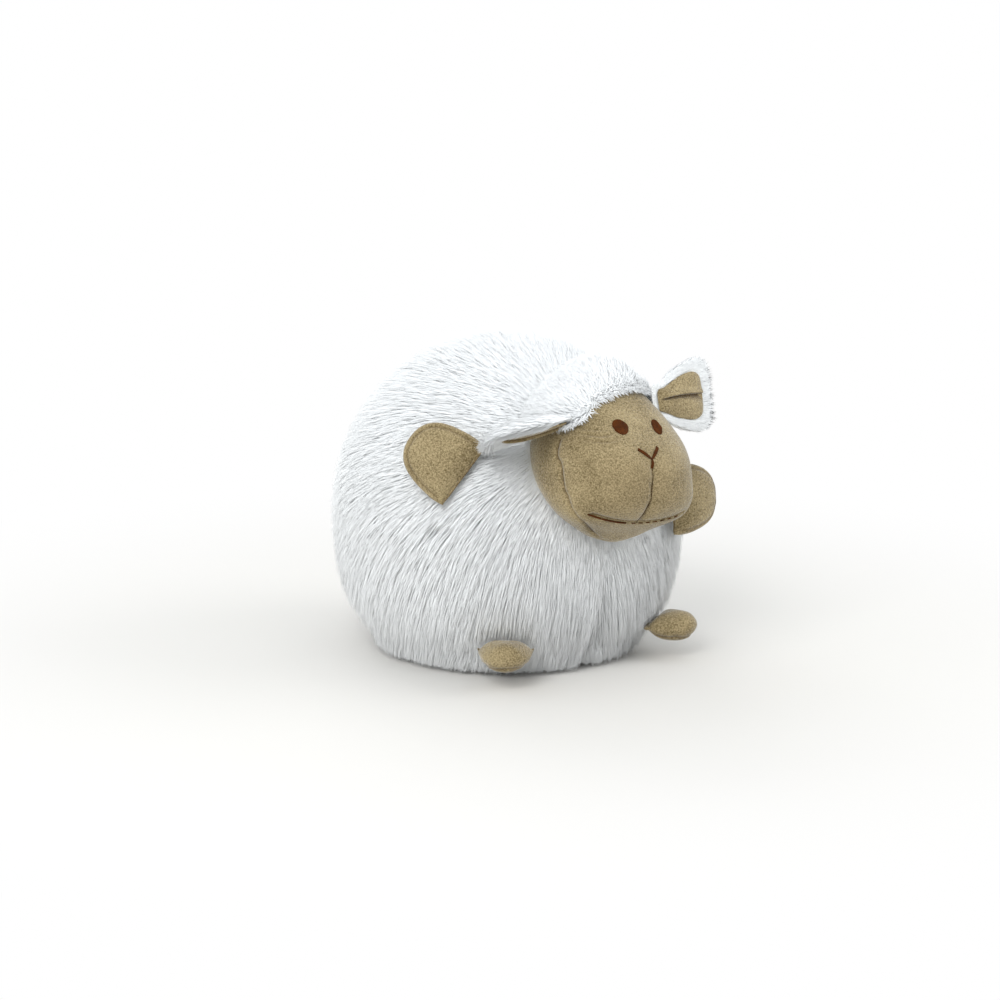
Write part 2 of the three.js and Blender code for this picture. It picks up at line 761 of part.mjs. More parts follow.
// the door and, with some room around it, the recess that it drops into
function doorOutline(room, low, high) {
  const plate = block(doorLength + 2 * room, doorWidth + 2 * room, low, high);
  const reach = doorLength / 2 + compartment.tabReach + room;
  const tab = block(reach, compartment.tabWidth + 2 * room, low, high).translate(reach / 2, 0, 0);
  return joined(plate, tab).translate(0, -compartment.centreForward, 0);
}

function batteryDoor() {
  const plate = doorOutline(0, clearance.seat, clearance.seat + compartment.doorThickness);
  const [x, y] = doorScrewPlace;
  const { overrun, running, seat } = clearance;
  const through = disc(screw.shankRadius + running, -overrun, doorSeat(), smallSegments);
  const headRoom = disc(screw.headRadius + running, -overrun, screw.headHeight + 2 * seat, smallSegments);
  return cut(plate, through.translate(x, y, 0), headRoom.translate(x, y, 0));
}

// a pan-head screw, its head down and its slot in the underside
function slottedScrew(headLow, tip) {
  const headHigh = headLow + screw.headHeight;
  const shank = disc(screw.shankRadius, headHigh - clearance.seat, tip, smallSegments);
  const headDisc = disc(screw.headRadius, headLow, headHigh, smallSegments);
  const { headRadius, slotWidth, slotDepth } = screw;
  const slot = block(headRadius * 3, slotWidth, headLow - slotDepth, headLow + slotDepth);
  return cut(joined(headDisc, shank), slot);
}

function batteryCell() {
  const half = cell.length / 2;
  const points = [
    [0, -half],
    [cell.radius, -half],
    [cell.radius, half],
    [cell.nubRadius, half],
    [cell.nubRadius, half + cell.nubLength],
    [0, half + cell.nubLength],
  ];
  return turned(points, smallSegments).rotateY(Math.PI / 2);
}

class Coil extends THREE.Curve {
  constructor(radius, turns, length) {
    super();
    Object.assign(this, { radius, turns, length });
  }

  getPoint(share, target = new THREE.Vector3()) {
    const angle = 2 * Math.PI * this.turns * share;
    const reach = this.radius * (1 - share / 3);
    return target.set(this.length * share, reach * Math.cos(angle), reach * Math.sin(angle));
  }
}

function batterySpring(length) {
  const sides = 4;
  const outline = new THREE.Shape();
  for (let k = 0; k < sides; k += 1) {
    const angle = (2 * Math.PI * k) / sides;
    const corner = [contact.wire * Math.cos(angle), contact.wire * Math.sin(angle)];
    if (k === 0) outline.moveTo(...corner);
    else outline.lineTo(...corner);
  }
  outline.closePath();
  const extrudePath = new Coil(contact.springRadius, contact.turns, length);
  const steps = Math.round(contact.turns * 8);
  return new THREE.ExtrudeGeometry(outline, { steps, bevelEnabled: false, extrudePath });
}

function addBatteries(group) {
  const half = compartment.length / 2;
  const plateFace = half - clearance.seat - contact.plate;
  const cellMiddle = plateFace - clearance.seat - cell.nubLength - cell.length / 2;
  const springRoom = half + cellMiddle - cell.length / 2 - 2 * contact.wire;
  for (let k = 0; k < cell.count; k += 1) {
    const across = (k - (cell.count - 1) / 2) * cell.pitch - compartment.centreForward;
    const flip = k % 2 === 0 ? 1 : -1;
    const battery = piece(`battery_${k + 1}`, batteryCell(), finishes.cell);
    battery.rotation.z = flip > 0 ? 0 : Math.PI;
    battery.position.set(flip * cellMiddle, across, cellHeight);
    const springSpan = springRoom - 2 * clearance.seat;
    const spring = piece(`battery_spring_${k + 1}`, batterySpring(springSpan), finishes.steel);
    spring.rotation.z = flip > 0 ? 0 : Math.PI;
    spring.position.set(-flip * (half - clearance.seat - contact.wire), across, cellHeight);
    const tabShape = new THREE.BoxGeometry(contact.plate, contact.plateSize, contact.plateSize);
    const tab = piece(`battery_contact_${k + 1}`, tabShape, finishes.steel);
    tab.position.set(flip * (plateFace + contact.plate / 2), across, cellHeight);
    group.add(battery, spring, tab);
  }
}

function soundHole() {
  const { soundHoleRadius, domeShoulder, domeHeight } = pod;
  return disc(soundHoleRadius, domeShoulder, domeShoulder + 2 * domeHeight, holeSegments);
}

function diffuserDome() {
  const low = pod.wallTop + clearance.seat;
  const inner = domeProfile(-pod.domeWall, low).reverse();
  const shell = turned([...inner, ...domeProfile(0, low)], podSegments);
  const pillarLow = boardTop + clearance.seat;
  const middle = disc(pod.wallRadius - pod.domeWall / 2, low, pod.domeShoulder, podSegments);
  const pillars = housingScrewPlaces.map(([x, y]) => {
    const pillar = disc(housingScrew.bossRadius, pillarLow, pod.domeShoulder, smallSegments);
    const outwards = new THREE.Vector2(x, y).setLength(pod.domeWall);
    return common(pillar.translate(x + outwards.x, y + outwards.y, 0), middle);
  });
  const bores = housingScrewPlaces.map(([x, y]) => {
    const boreTop = housingScrew.reach + clearance.overrun;
    const bore = disc(screw.shankRadius + clearance.running, low, boreTop, holeSegments);
    return bore.translate(x, y, 0);
  });
  const holes = Array.from({ length: pod.soundHoles }, (_, k) => {
    const turn = (2 * Math.PI * k) / pod.soundHoles;
    const place = [pod.soundRingRadius * Math.cos(turn), pod.soundRingRadius * Math.sin(turn), 0];
    return soundHole().translate(...place);
  });
  return cut(joined(shell, ...pillars), ...bores, ...holes, soundHole());
}

function mainBoard() {
  const { overrun, running } = clearance;
  const holes = housingScrewPlaces.map(([x, y]) => {
    const hole = disc(screw.shankRadius + running, boardLow - overrun, boardTop + overrun, holeSegments);
    return hole.translate(x, y, 0);
  });
  return cut(disc(board.radius, boardLow, boardTop, podSegments), ...holes);
}

function ledLamp() {
  const low = boardTop + clearance.seat;
  const rimTop = low + led.rimHeight;
  const domeLow = low + led.height - led.radius;
  return turned([
    [0, low],
    [led.rimRadius, low],
    [led.rimRadius, rimTop],
    [led.radius, rimTop],
    [led.radius, domeLow],
    [led.radius * Math.SQRT1_2, domeLow + led.radius * Math.SQRT1_2],
    [0, low + led.height],
  ], smallSegments);
}

function addSpeaker(group) {
  const { seat } = clearance;
  const magnetLow = boardTop + seat;
  const backLow = magnetLow + speaker.magnetHeight + seat;
  const flangeTop = backLow + speaker.depth;
  const { plate, backRadius, flangeRadius } = speaker;
  const rim = flangeTop - plate;
  const inside = flangeRadius - 2 * plate;
  const frame = turned([
    [0, backLow],
    [backRadius, backLow],
    [inside + plate, rim],
    [flangeRadius, rim],
    [flangeRadius, flangeTop],
    [inside, flangeTop],
    [inside, rim],
    [backRadius - plate, backLow + plate],
    [0, backLow + plate],
  ]);
  const coneLow = backLow + plate + seat;
  const { coneRadius, cone } = speaker;
  const capRadius = coneRadius / 3;
  const coneShape = turned([
    [0, coneLow],
    [capRadius, coneLow],
    [coneRadius, flangeTop - cone],
    [coneRadius, flangeTop],
    [capRadius, coneLow + 2 * cone],
    [0, coneLow + 3 * cone],
  ]);
  const magnet = disc(speaker.magnetRadius, magnetLow, magnetLow + speaker.magnetHeight);
  group.add(
    piece('speaker_magnet', magnet, finishes.magnet),
    piece('speaker_frame', frame, finishes.steel),
    piece('speaker_cone', coneShape, finishes.paper),
  );
}

function keyShape() {
  const flangeTop = buttonFlangeLow + button.flange;
  const segments = 18;
  return turned([
    [0, button.recess],
    [button.radius, button.recess],
    [button.radius, buttonFlangeLow],
    [button.flangeRadius, buttonFlangeLow],
    [button.flangeRadius, flangeTop],
    [button.stemRadius, flangeTop],
    [button.stemRadius, buttonTop],
    [0, buttonTop],
  ], segments);
}

function addControls(group) {
  const names = ['light_button', 'music_button', 'volume_button'];
  names.forEach((name, k) => {
    const across = (k - 1) * button.spacing;
    const key = piece(name, keyShape(), finishes.key);
    key.position.set(across, button.behind, 0);
    const { tactSize, tactHeight, stem } = switchBoard;
    const tactBody = block(tactSize, tactSize, tactLow, tactLow + tactHeight);
    const plunger = disc(button.stemRadius, tactLow - stem, tactLow + stem, smallSegments);
    const tact = piece(`tact_switch_${k + 1}`, joined(tactBody, plunger), finishes.switchBlack);
    tact.position.set(across, button.behind, 0);
    group.add(key, tact);
  });
  const boardHigh = switchBoardLow + switchBoard.thickness;
  const plate = block(switchBoard.length, switchBoard.depth, switchBoardLow, boardHigh);
  const keyBoard = piece('switch_board', plate, finishes.board);
  keyBoard.position.y = button.behind;
  const flangeHigh = buttonFlangeLow + power.flange;
  const knob = block(power.knobLength, power.slotWidth, power.recess, flangeHigh);
  const flange = block(power.flangeLength, power.flangeWidth, buttonFlangeLow, flangeHigh);
  const slider = piece('power_slider', joined(knob, flange), finishes.key);
  slider.position.set(-power.travel / 2, power.behind, 0);
  const powerBodyHigh = powerBodyLow + power.bodyHeight;
  const switchBody = block(powerBodyLength, power.bodyWidth, powerBodyLow, powerBodyHigh);
  const switchPiece = piece('power_switch_body', switchBody, finishes.switchBlack);
  switchPiece.position.y = power.behind;
  group.add(keyBoard, slider, switchPiece);
}

function makePod() {
  const group = new THREE.Group();
  group.add(
    piece('base_housing', baseHousing(), finishes.shell),
    piece('battery_door', batteryDoor(), finishes.shell),
    piece('diffuser_dome', diffuserDome(), finishes.diffuser),
    piece('main_board', mainBoard(), finishes.board),
  );
  const doorScrew = piece('door_screw', slottedScrew(clearance.seat, compartment.bossTop), finishes.steel);
  doorScrew.position.set(...doorScrewPlace, 0);
  group.add(doorScrew);
  housingScrewPlaces.forEach(([x, y], k) => {
    const low = housingScrew.headSeat - clearance.seat - screw.headHeight;
    const mesh = piece(`housing_screw_${k + 1}`, slottedScrew(low, housingScrew.reach), finishes.steel);
    mesh.position.set(x, y, 0);
    group.add(mesh);
  });
  for (let k = 0; k < led.count; k += 1) {
    const turn = (2 * Math.PI * (k + 1 / 2)) / led.count;
    const mesh = piece(`led_${k + 1}`, ledLamp(), finishes.led);
    mesh.position.set(led.circleRadius * Math.cos(turn), led.circleRadius * Math.sin(turn), 0);
    group.add(mesh);
  }
  addBatteries(group);
  addSpeaker(group);
  addControls(group);
  return group;
}

function makeBody() {
  const group = new THREE.Group();
  const bandLow = pod.lipHeight + clearance.seat;
  const band = ringBetween(pod.wallRadius + clearance.seat, hemRadius, bandLow, hemTop, bodySegments);
  group.add(
    piece('body_fur_shell', furShell(), finishes.fur),
    piece('body_stuffing', bodyStuffing(), finishes.filling),
    piece('pod_pocket', podPocket(), finishes.cloth),
    piece('opening_hem_band', band, finishes.cloth),
  );
  return group;
}

const nightLight = new THREE.Group();
nightLight.add(makeBody(), makeHead(), makePod());
Object.entries(limbPlaces).forEach(([name, place]) => nightLight.add(limb(name, place)));
Object.entries(earPlaces).forEach(([name, place]) => nightLight.add(makeEar(name, place)));
nightLight.updateMatrixWorld(true);

export default nightLight;
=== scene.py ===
import json
import math
from functools import partial

import bmesh
import bpy
import numpy as np
from mathutils import Matrix, Vector
from mathutils.bvhtree import BVHTree


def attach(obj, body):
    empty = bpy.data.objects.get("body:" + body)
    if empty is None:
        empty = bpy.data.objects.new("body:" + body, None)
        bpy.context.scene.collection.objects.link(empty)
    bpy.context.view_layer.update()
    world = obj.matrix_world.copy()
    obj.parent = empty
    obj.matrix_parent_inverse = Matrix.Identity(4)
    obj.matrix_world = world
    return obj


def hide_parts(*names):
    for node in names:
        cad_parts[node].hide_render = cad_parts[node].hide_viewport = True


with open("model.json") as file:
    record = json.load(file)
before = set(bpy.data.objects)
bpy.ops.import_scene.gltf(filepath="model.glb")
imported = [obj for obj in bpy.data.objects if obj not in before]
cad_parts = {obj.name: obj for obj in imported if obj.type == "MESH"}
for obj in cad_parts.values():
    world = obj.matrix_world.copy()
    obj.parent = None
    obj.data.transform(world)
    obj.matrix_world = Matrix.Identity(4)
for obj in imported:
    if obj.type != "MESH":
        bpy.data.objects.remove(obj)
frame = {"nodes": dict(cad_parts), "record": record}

# A ball-shaped plush lamb that is a night light. Lengths below are in millimetres unless a
# name says otherwise, and mm turns them to metres.
mm = 0.001
scene = bpy.context.scene
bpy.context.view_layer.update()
rootBody = "plush_body"
print("frame loaded:", len(frame["nodes"]), "pieces")


def linearColour(code):
    # sRGB hex
    parts = [int(code[i : i + 2], 16) / 255 for i in (1, 3, 5)]
    return (*[c / 12.92 if c <= 0.04045 else ((c + 0.055) / 1.055) ** 2.4 for c in parts], 1.0)


def wire(tree, value, socket):
    # value is a node, one of its outputs or a plain value
    if isinstance(value, bpy.types.Node):
        value = next(s for s in value.outputs if s.enabled)
    if isinstance(value, bpy.types.NodeSocket):
        tree.links.new(value, socket)
    else:
        socket.default_value = value


def addNode(tree, kind, inputs=None, **settings):
    node = tree.nodes.new(kind)
    for key, value in settings.items():
        setattr(node, key, value)
    for key, value in (inputs or {}).items():
        if isinstance(key, int):
            socket = node.inputs[key]
        else:
            socket = next(s for s in node.inputs if s.enabled and s.name == key)
        wire(tree, value, socket)
    return node


def numberNode(tree, operation, *values):
    return addNode(tree, "ShaderNodeMath", dict(enumerate(values)), operation=operation)


def vectorNode(tree, operation, *values):
    return addNode(tree, "ShaderNodeVectorMath", dict(enumerate(values)), operation=operation)


def scaledNode(tree, direction, amount):
    return addNode(tree, "ShaderNodeVectorMath", {0: direction, "Scale": amount}, operation="SCALE")


def blended(tree, factor, first, second, how="MIX"):
    inputs = {"Factor": factor, "A": first, "B": second}
    return addNode(tree, "ShaderNodeMix", inputs, data_type="RGBA", blend_type=how)


def linked(name, data):
    piece = bpy.data.objects.new(name, data)
    scene.collection.objects.link(piece)
    return piece


# Camera: the photograph looks from the lamb's right, a little above
cameraPlace = {
    "azimuth": -35,
    "elevation": 12,
    "distance": 1650,
    "focalPixels": 2723,
    "bodyCentre": (0, 0, 84),
    "centrePixel": (508, 508),
    "frameSize": 1000,
    "sensor": 36,
    "farthestMetres": 20,
}


def placeCamera(place):
    azimuth, elevation = math.radians(place["azimuth"]), math.radians(place["elevation"])
    level = math.cos(elevation)
    back = Vector((math.sin(azimuth) * level, -math.cos(azimuth) * level, math.sin(elevation)))
    right = Vector((math.cos(azimuth), math.sin(azimuth), 0))
    up = back.cross(right)
    perPixel = place["distance"] / place["focalPixels"]
    half = place["frameSize"] / 2
    aim = Vector(place["bodyCentre"])
    aim -= right * (place["centrePixel"][0] - half) * perPixel
    aim += up * (place["centrePixel"][1] - half) * perPixel
    lens = bpy.data.cameras.new("photoCamera")
    lens.sensor_width = place["sensor"]
    lens.lens = place["focalPixels"] / place["frameSize"] * place["sensor"]
    lens.clip_end = place["farthestMetres"]
    camera = linked("photoCamera", lens)
    turn = Matrix((right, up, back)).transposed()
    camera.matrix_world = Matrix.Translation((aim + back * place["distance"]) * mm) @ turn.to_4x4()
    scene.camera = camera


placeCamera(cameraPlace)
print("camera placed")


# Materials

clothLook = {
    "fineDetail": 3.0,
    "fineRoughness": 0.6,
    "fineDistortion": 0.4,
    "contrast": (0.36, 0.64),  # the part of the noise that runs from the low to the high colour
    # colour of the painted shade in seams, folds and on the muzzle
    "seamTint": (0.3, 0.24, 0.18, 1),
    "bump": 0.9,
}
mouldedLook = {"sparkShade": 0.94, "bump": 0.4}
rootShadePower = 0.55


def newMaterial(name, finish):
    material = bpy.data.materials.new(name)
    material.use_nodes = True
    shader = material.node_tree.nodes["Principled BSDF"]
    for key, value in finish.items():
        shader.inputs[key].default_value = value
    return material, material.node_tree, shader


def noiseNode(tree, place, grain, detail=2.0, roughness=0.5, distortion=0.0):
    # grain is a real size in millimetres
    inputs = {"Vector": place, "Scale": 1 / (grain * mm), "Detail": detail}
    inputs |= {"Roughness": roughness, "Distortion": distortion}
    return addNode(tree, "ShaderNodeTexNoise", inputs)


def finished(material, tree, shader, colour, height=None, strength=0, depth=0):
    wire(tree, colour, shader.inputs["Base Color"])
    if height is not None:
        inputs = {"Height": height, "Strength": strength, "Distance": depth * mm}
        wire(tree, addNode(tree, "ShaderNodeBump", inputs), shader.inputs["Normal"])
    return material


def makePile(name, rootHex, tipHex, finish):
    # modacrylic long pile: fine round fibres, matt white with a soft sheen; roots lie in shade
    material, tree, shader = newMaterial(name, finish)
    along = addNode(tree, "ShaderNodeAttribute", attribute_name="alongStrand").outputs["Fac"]
    tone = addNode(tree, "ShaderNodeAttribute", attribute_name="strandTone").outputs["Color"]
    shade = numberNode(tree, "POWER", along, rootShadePower)
    colour = blended(tree, shade, linearColour(rootHex), linearColour(tipHex))
    return finished(material, tree, shader, blended(tree, 1.0, colour, tone, "MULTIPLY"))


def makeCloth(name, lowHex, highHex, grain, patch, bumpDepth, finish, stretch=(1, 1, 1), mottle=0.5):
    # grain and patch are the real sizes in millimetres of the nap's tufts and of its mottling
    material, tree, shader = newMaterial(name, finish)
    place = addNode(tree, "ShaderNodeTexCoord").outputs["Object"]
    spread = addNode(tree, "ShaderNodeMapping", {"Vector": place, "Scale": stretch})
    fineLook = [clothLook[key] for key in ("fineDetail", "fineRoughness", "fineDistortion")]
    fine = noiseNode(tree, spread, grain, *fineLook)
    broad = noiseNode(tree, place, patch)
    both = addNode(tree, "ShaderNodeMix", {"Factor": mottle, "A": fine, "B": broad}, data_type="FLOAT")
    low, high = clothLook["contrast"]
    share = addNode(tree, "ShaderNodeMapRange", {"Value": both, "From Min": low, "From Max": high})
    colour = blended(tree, share, linearColour(lowHex), linearColour(highHex))
    # painted shade, by the seamShade attribute, darkens the cloth in its seams, folds and puckers and along
    # a limb's sewn-on base, where shade falls and the parted nap shows its roots, and over the muzzle's
    # middle
    seam = addNode(tree, "ShaderNodeAttribute", attribute_name="seamShade").outputs["Fac"]
    paintedSeamShade = blended(tree, seam, (1, 1, 1, 1), clothLook["seamTint"])
    shaded = blended(tree, 1.0, colour, paintedSeamShade, "MULTIPLY")
    return finished(material, tree, shader, shaded, fine, clothLook["bump"], bumpDepth)


def makeMoulded(name, hexCode, sparkSize, bumpDepth, finish):
    # a moulded or sleeved surface: even colour with the tool's fine spark texture
    material, tree, shader = newMaterial(name, finish)
    place = addNode(tree, "ShaderNodeTexCoord").outputs["Object"]
    spark = noiseNode(tree, place, sparkSize)
    bright = linearColour(hexCode)
    dim = (*[mouldedLook["sparkShade"] * c for c in bright[:3]], 1)
    return finished(
        material, tree, shader, blended(tree, spark, bright, dim), spark, mouldedLook["bump"], bumpDepth
    )


whitePile = makePile(
    "modacrylicLongPile",
    "#f1f4f5",
    "#fbfdfe",
    {"Roughness": 0.85, "Sheen Weight": 0.4, "Sheen Roughness": 0.5, "Specular IOR Level": 0.2},
)
pileBacking = makeCloth(
    "knittedPileBacking", "#dcdedb", "#eff0ee", 0.9, 12, 0.3, {"Roughness": 0.95, "Sheen Weight": 0.2}
)
# polyester velour with a 1 mm nap; the tufts are drawn 0.9 mm wide so that they show
tanVelour = makeCloth(
    "tanMinkyVelour",
    "#64563a",
    "#b2a17c",
    0.9,
    22,
    0.6,
    {"Roughness": 0.95, "Sheen Weight": 0.55, "Sheen Roughness": 0.34, "Specular IOR Level": 0.1},
    mottle=0.25,
)
# rayon embroidery thread: smooth twisted filaments with a silky gleam
brownThread = makeCloth(
    "brownRayonThread", "#2f1602", "#5d300a", 0.35, 3, 0.05, {"Roughness": 0.5, "Specular IOR Level": 0.08}
)
# sewing thread sunk in the seams, in shade most of the way
seamThread = makeCloth(
    "darkSeamThread", "#2c1d0d", "#4c3819", 0.4, 3, 0.05, {"Roughness": 0.7, "Specular IOR Level": 0.2}
)
cottonBinding = makeCloth(
    "wovenCottonBinding", "#cfd0cc", "#e4e4e0", 0.5, 8, 0.12, {"Roughness": 0.9}, (1, 1, 2.5)
)
fibreFilling = makeCloth(
    "siliconisedFibreFilling", "#e6e4db", "#f8f7f1", 1.6, 14, 0.8, {"Roughness": 0.95, "Sheen Weight": 0.4}
)
# the pod's hard pieces, by the slot that the record gives them
slotFinishes = {
    "shell": makeMoulded("mouldedABS", "#f2f0ea", 0.35, 0.02, {"Roughness": 0.5}),
    "diffuser": makeMoulded(
        "frostedPolycarbonate", "#f7f5ee", 0.25, 0.02, {"Roughness": 0.45, "Subsurface Weight": 0.2}
    ),
    "key": makeMoulded("greyABSKeys", "#9a9c9e", 0.3, 0.02, {"Roughness": 0.55}),
    "steel": makeMoulded("nickelPlatedSteel", "#c4c6c8", 0.2, 0.01, {"Roughness": 0.28, "Metallic": 1.0}),
    "board": makeMoulded("solderMaskedLaminate", "#1f5a37", 0.6, 0.01, {"Roughness": 0.4}),
    "cell": makeMoulded("shrinkSleevedSteel", "#3c4046", 0.5, 0.01, {"Roughness": 0.32}),
    "led": makeMoulded("castEpoxyLens", "#f3efcf", 0.5, 0.005, {"Roughness": 0.12, "Coat Weight": 0.4}),
    "magnet": makeMoulded("sinteredFerrite", "#55585c", 0.4, 0.03, {"Roughness": 0.6}),
    "paper": makeMoulded("pressedPaperCone", "#2a2a2c", 0.6, 0.05, {"Roughness": 0.9}),
    "switch_black": makeMoulded("mouldedNylon", "#202124", 0.3, 0.01, {"Roughness": 0.5}),
}
print("materials made")


def meshPiece(name, points, faces, material, smooth=True):
    mesh = bpy.data.meshes.new(name)
    mesh.from_pydata([tuple(p) for p in points], [], [tuple(f) for f in faces])
    mesh.materials.append(material)
    mesh.validate()
    if smooth:
        mesh.shade_smooth()
    return linked(name, mesh)


def settle(piece, body, slotName, *replaced, fill=None):
    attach(piece, body)
    if replaced:
        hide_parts(*replaced)


def corners(piece, key="co"):
    # places of the corners, or their normals with the key normal
    flat = np.empty(len(piece.data.vertices) * 3, np.float32)
    piece.data.vertices.foreach_get(key, flat)
    return flat.reshape(-1, 3).astype(float)


def setCorners(piece, points):
    piece.data.vertices.foreach_set("co", np.asarray(points, np.float32).ravel())
    piece.data.update()


def storeNumbers(piece, label, values):
    attribute = piece.data.attributes.new(label, "FLOAT", "POINT")
    attribute.data.foreach_set("value", np.asarray(values, np.float32))


def reworked(piece, change):
    work = bmesh.new()
    work.from_mesh(piece.data)
    change(work)
    work.to_mesh(piece.data)
    work.free()
    piece.data.update()
    return piece


def smoothed(piece, steps, factor):
    axes = {"use_axis_x": True, "use_axis_y": True, "use_axis_z": True}

    def change(work):
        for _ in range(steps):
            bmesh.ops.smooth_vert(work, verts=work.verts, factor=factor, **axes)

    return reworked(piece, change)


def loftFaces(sizes, closed=True):
    # faces between rings of points that follow each other; a ring of one point is an end
    starts = np.cumsum([0, *sizes]).tolist()
    faces = []
    for row in range(len(sizes) - 1):
        low, high, count = starts[row], starts[row + 1], max(sizes[row], sizes[row + 1])
        for k in range(count if closed else count - 1):
            nxt = (k + 1) % count
            if sizes[row] == 1:
                faces.append((low, high + nxt, high + k))
            elif sizes[row + 1] == 1:
                faces.append((low + k, low + nxt, high))
            else:
                faces.append((low + k, low + nxt, high + nxt, high + k))
    return faces


def loftPiece(name, rings, material):
    def change(work):
        bmesh.ops.remove_doubles(work, verts=work.verts, dist=1e-7)
        bmesh.ops.recalc_face_normals(work, faces=work.faces)

    faces = loftFaces([len(ring) for ring in rings])
    return reworked(meshPiece(name, np.vstack(rings), faces, material), change)


def toRow(piece, place=Matrix.Identity(4), scale=mm):
    # from millimetres in the piece's own frame to metres in the row frame
    piece.data.transform(Matrix.Scale(scale, 4) @ place)
    piece.data.update()
    return piece


def nearestOnLine(points, line):
    # distance from each point to a line of points
    line = np.asarray(line, float)
    best = np.full(len(points), 1e9)
    for a, b in zip(line[:-1], line[1:]):
        d = b - a
        t = np.clip(((points - a) @ d) / max(d @ d, 1e-12), 0, 1)
        best = np.minimum(best, np.linalg.norm(points - (a + t[:, None] * d), axis=1))
    return best


def smoothCurve(points, count):
    # Catmull-Rom points through a short list
    points = np.asarray(points, float)
    padded = np.vstack([2 * points[0] - points[1], points, 2 * points[-1] - points[-2]])
    result = []
    for share in np.linspace(0, len(points) - 1 - 1e-9, count):
        k = int(share)
        t = share - k
        a, b, c, d = padded[k : k + 4]
        bend = (2 * a - 5 * b + 4 * c - d) * t**2 + (3 * b - a - 3 * c + d) * t**3
        result.append(0.5 * (2 * b + (c - a) * t + bend))
    return np.array(result)


def lengthsAlong(line):
    return np.concatenate([[0], np.cumsum(np.linalg.norm(np.diff(line, axis=0), axis=1))])


def placesAt(line, wanted):
    # places on a flat line at lengths along it
    return np.column_stack([np.interp(wanted, lengthsAlong(line), line[:, k]) for k in (0, 1)])


def evenLoop(loop, count):
    # a closed outline as evenly spaced places
    closed = np.vstack([loop, loop[:1]])
    return placesAt(closed, np.linspace(0, lengthsAlong(closed)[-1], count, endpoint=False))


def smoothStep(low, high, value):
    t = np.clip((value - low) / (high - low), 0, 1)
    return t * t * (3 - 2 * t)


def hump(away, reach):
    # 1 at a place and near 0 from twice the reach on
    return np.exp(-((away / reach) ** 2))


# The rounded body

ball = {
    "radius": 104,
    "crownHeight": 107,
    "restHeight": 84,
    "sagPower": 2.5,
    "openingRadius": 52.3,
    "restMargin": 8,
    "underside": 1.0,
    "pileDepth": 9,  # knitted backing below the middle of the pile
    "undersideDepth": 1.2,  # the pile is pressed flat below
    "pressedLevels": (2, 26),
    "lipGap": 0.3,
    "lipLevels": (8.5, 3.2),
    "lipCorner": (0.9, 2.2),
    "columns": 144,
    "lowRows": 30,
    "highRows": 36,
}


def ballOutline(shape):
    # [radius, height] of the pile's middle from the rim of the underside to the crown
    share = (shape["openingRadius"] + shape["restMargin"]) / shape["radius"]
    drop = shape["restHeight"] - shape["underside"]
    sag = drop / (1 - share ** shape["sagPower"]) ** (1 / shape["sagPower"])
    bend = 2 / shape["sagPower"]
    low = math.asin((drop / sag) ** (1 / bend)) * (1 - np.arange(shape["lowRows"]) / shape["lowRows"])
    high = math.pi / 2 * np.arange(shape["highRows"] + 1) / shape["highRows"]
    radius = np.concatenate([shape["radius"] * np.cos(low) ** bend, shape["radius"] * np.cos(high)])
    below = shape["restHeight"] - sag * np.sin(low) ** bend
    above = shape["restHeight"] + shape["crownHeight"] * np.sin(high)
    return radius, np.concatenate([below, above])


def ballBacking(shape):
    radius, height = ballOutline(shape)
    along = np.gradient(np.stack([radius, height], 1), axis=0)
    along /= np.linalg.norm(along, axis=1)[:, None]
    pressed = smoothStep(*shape["pressedLevels"], height)
    depth = shape["undersideDepth"] + (shape["pileDepth"] - shape["undersideDepth"]) * pressed
    inner = np.stack([radius - along[:, 1] * depth, height + along[:, 0] * depth], 1)
    inner[-1, 0] = 0
    return inner


def ringPoints(radius, height, turn):
    return np.stack([radius * np.sin(turn), -radius * np.cos(turn), np.full(len(turn), height)], 1)


def makeBacking(shape):
    side = ballBacking(shape)
    lip = shape["openingRadius"] + shape["lipGap"]
    out, level = shape["lipCorner"]
    profile = [*[(lip, z) for z in shape["lipLevels"]], (lip + out, level), *side[:-1]]
    turn = 2 * math.pi * np.arange(shape["columns"]) / shape["columns"]
    rings = [ringPoints(r, z, turn) * mm for r, z in profile]
    return loftPiece("bodyBacking", [*rings, np.array([[0, 0, side[-1][1]]]) * mm], pileBacking)


bodyBacking = makeBacking(ball)
print("body backing made")


# The head, in its own frame: x to its left, -y forwards, z up

headShape = {
    "neckLength": 10.5,
    "neckHeight": 48,
    "height": 98,
    "halfWidth": 45,
    "halfDepth": 41,
    "chinShare": 0.49,
    "squareness": 2.6,
    "roll": 5.9,
    "columns": 350,
    "rows": 220,
    # level sections: share of height, of half width, of half depth to the centre and of half depth
    "sections": [
        (0, 0, -0.17, 0),
        (0.02, 0.28, -0.17, 0.14),
        (0.082, 0.57, -0.2, 0.28),
        (0.184, 0.907, -0.266, 0.57),
        (0.286, 0.995, -0.163, 0.822),
        (0.388, 0.993, -0.037, 0.963),
        (0.49, 0.973, 0.046, 1),
        (0.592, 0.933, 0.144, 0.944),
        (0.694, 0.827, 0.266, 0.824),
        (0.796, 0.651, 0.354, 0.676),
        (0.878, 0.467, 0.398, 0.512),
        (0.949, 0.278, 0.42, 0.332),
        (1, 0, 0.43, 0),
    ],
}
headLevels, headWidths, headCentres, headDepths = np.array(headShape["sections"]).T
neckRadius = ball["radius"] * math.sqrt(1 - (headShape["neckHeight"] / ball["crownHeight"]) ** 2)
headLevel = ball["restHeight"] + headShape["neckHeight"]
headMiddle = Vector((0, -(neckRadius + headShape["neckLength"]), headLevel))
headPlace = Matrix.Translation(headMiddle) @ Matrix.Rotation(math.radians(headShape["roll"]), 4, "Y")


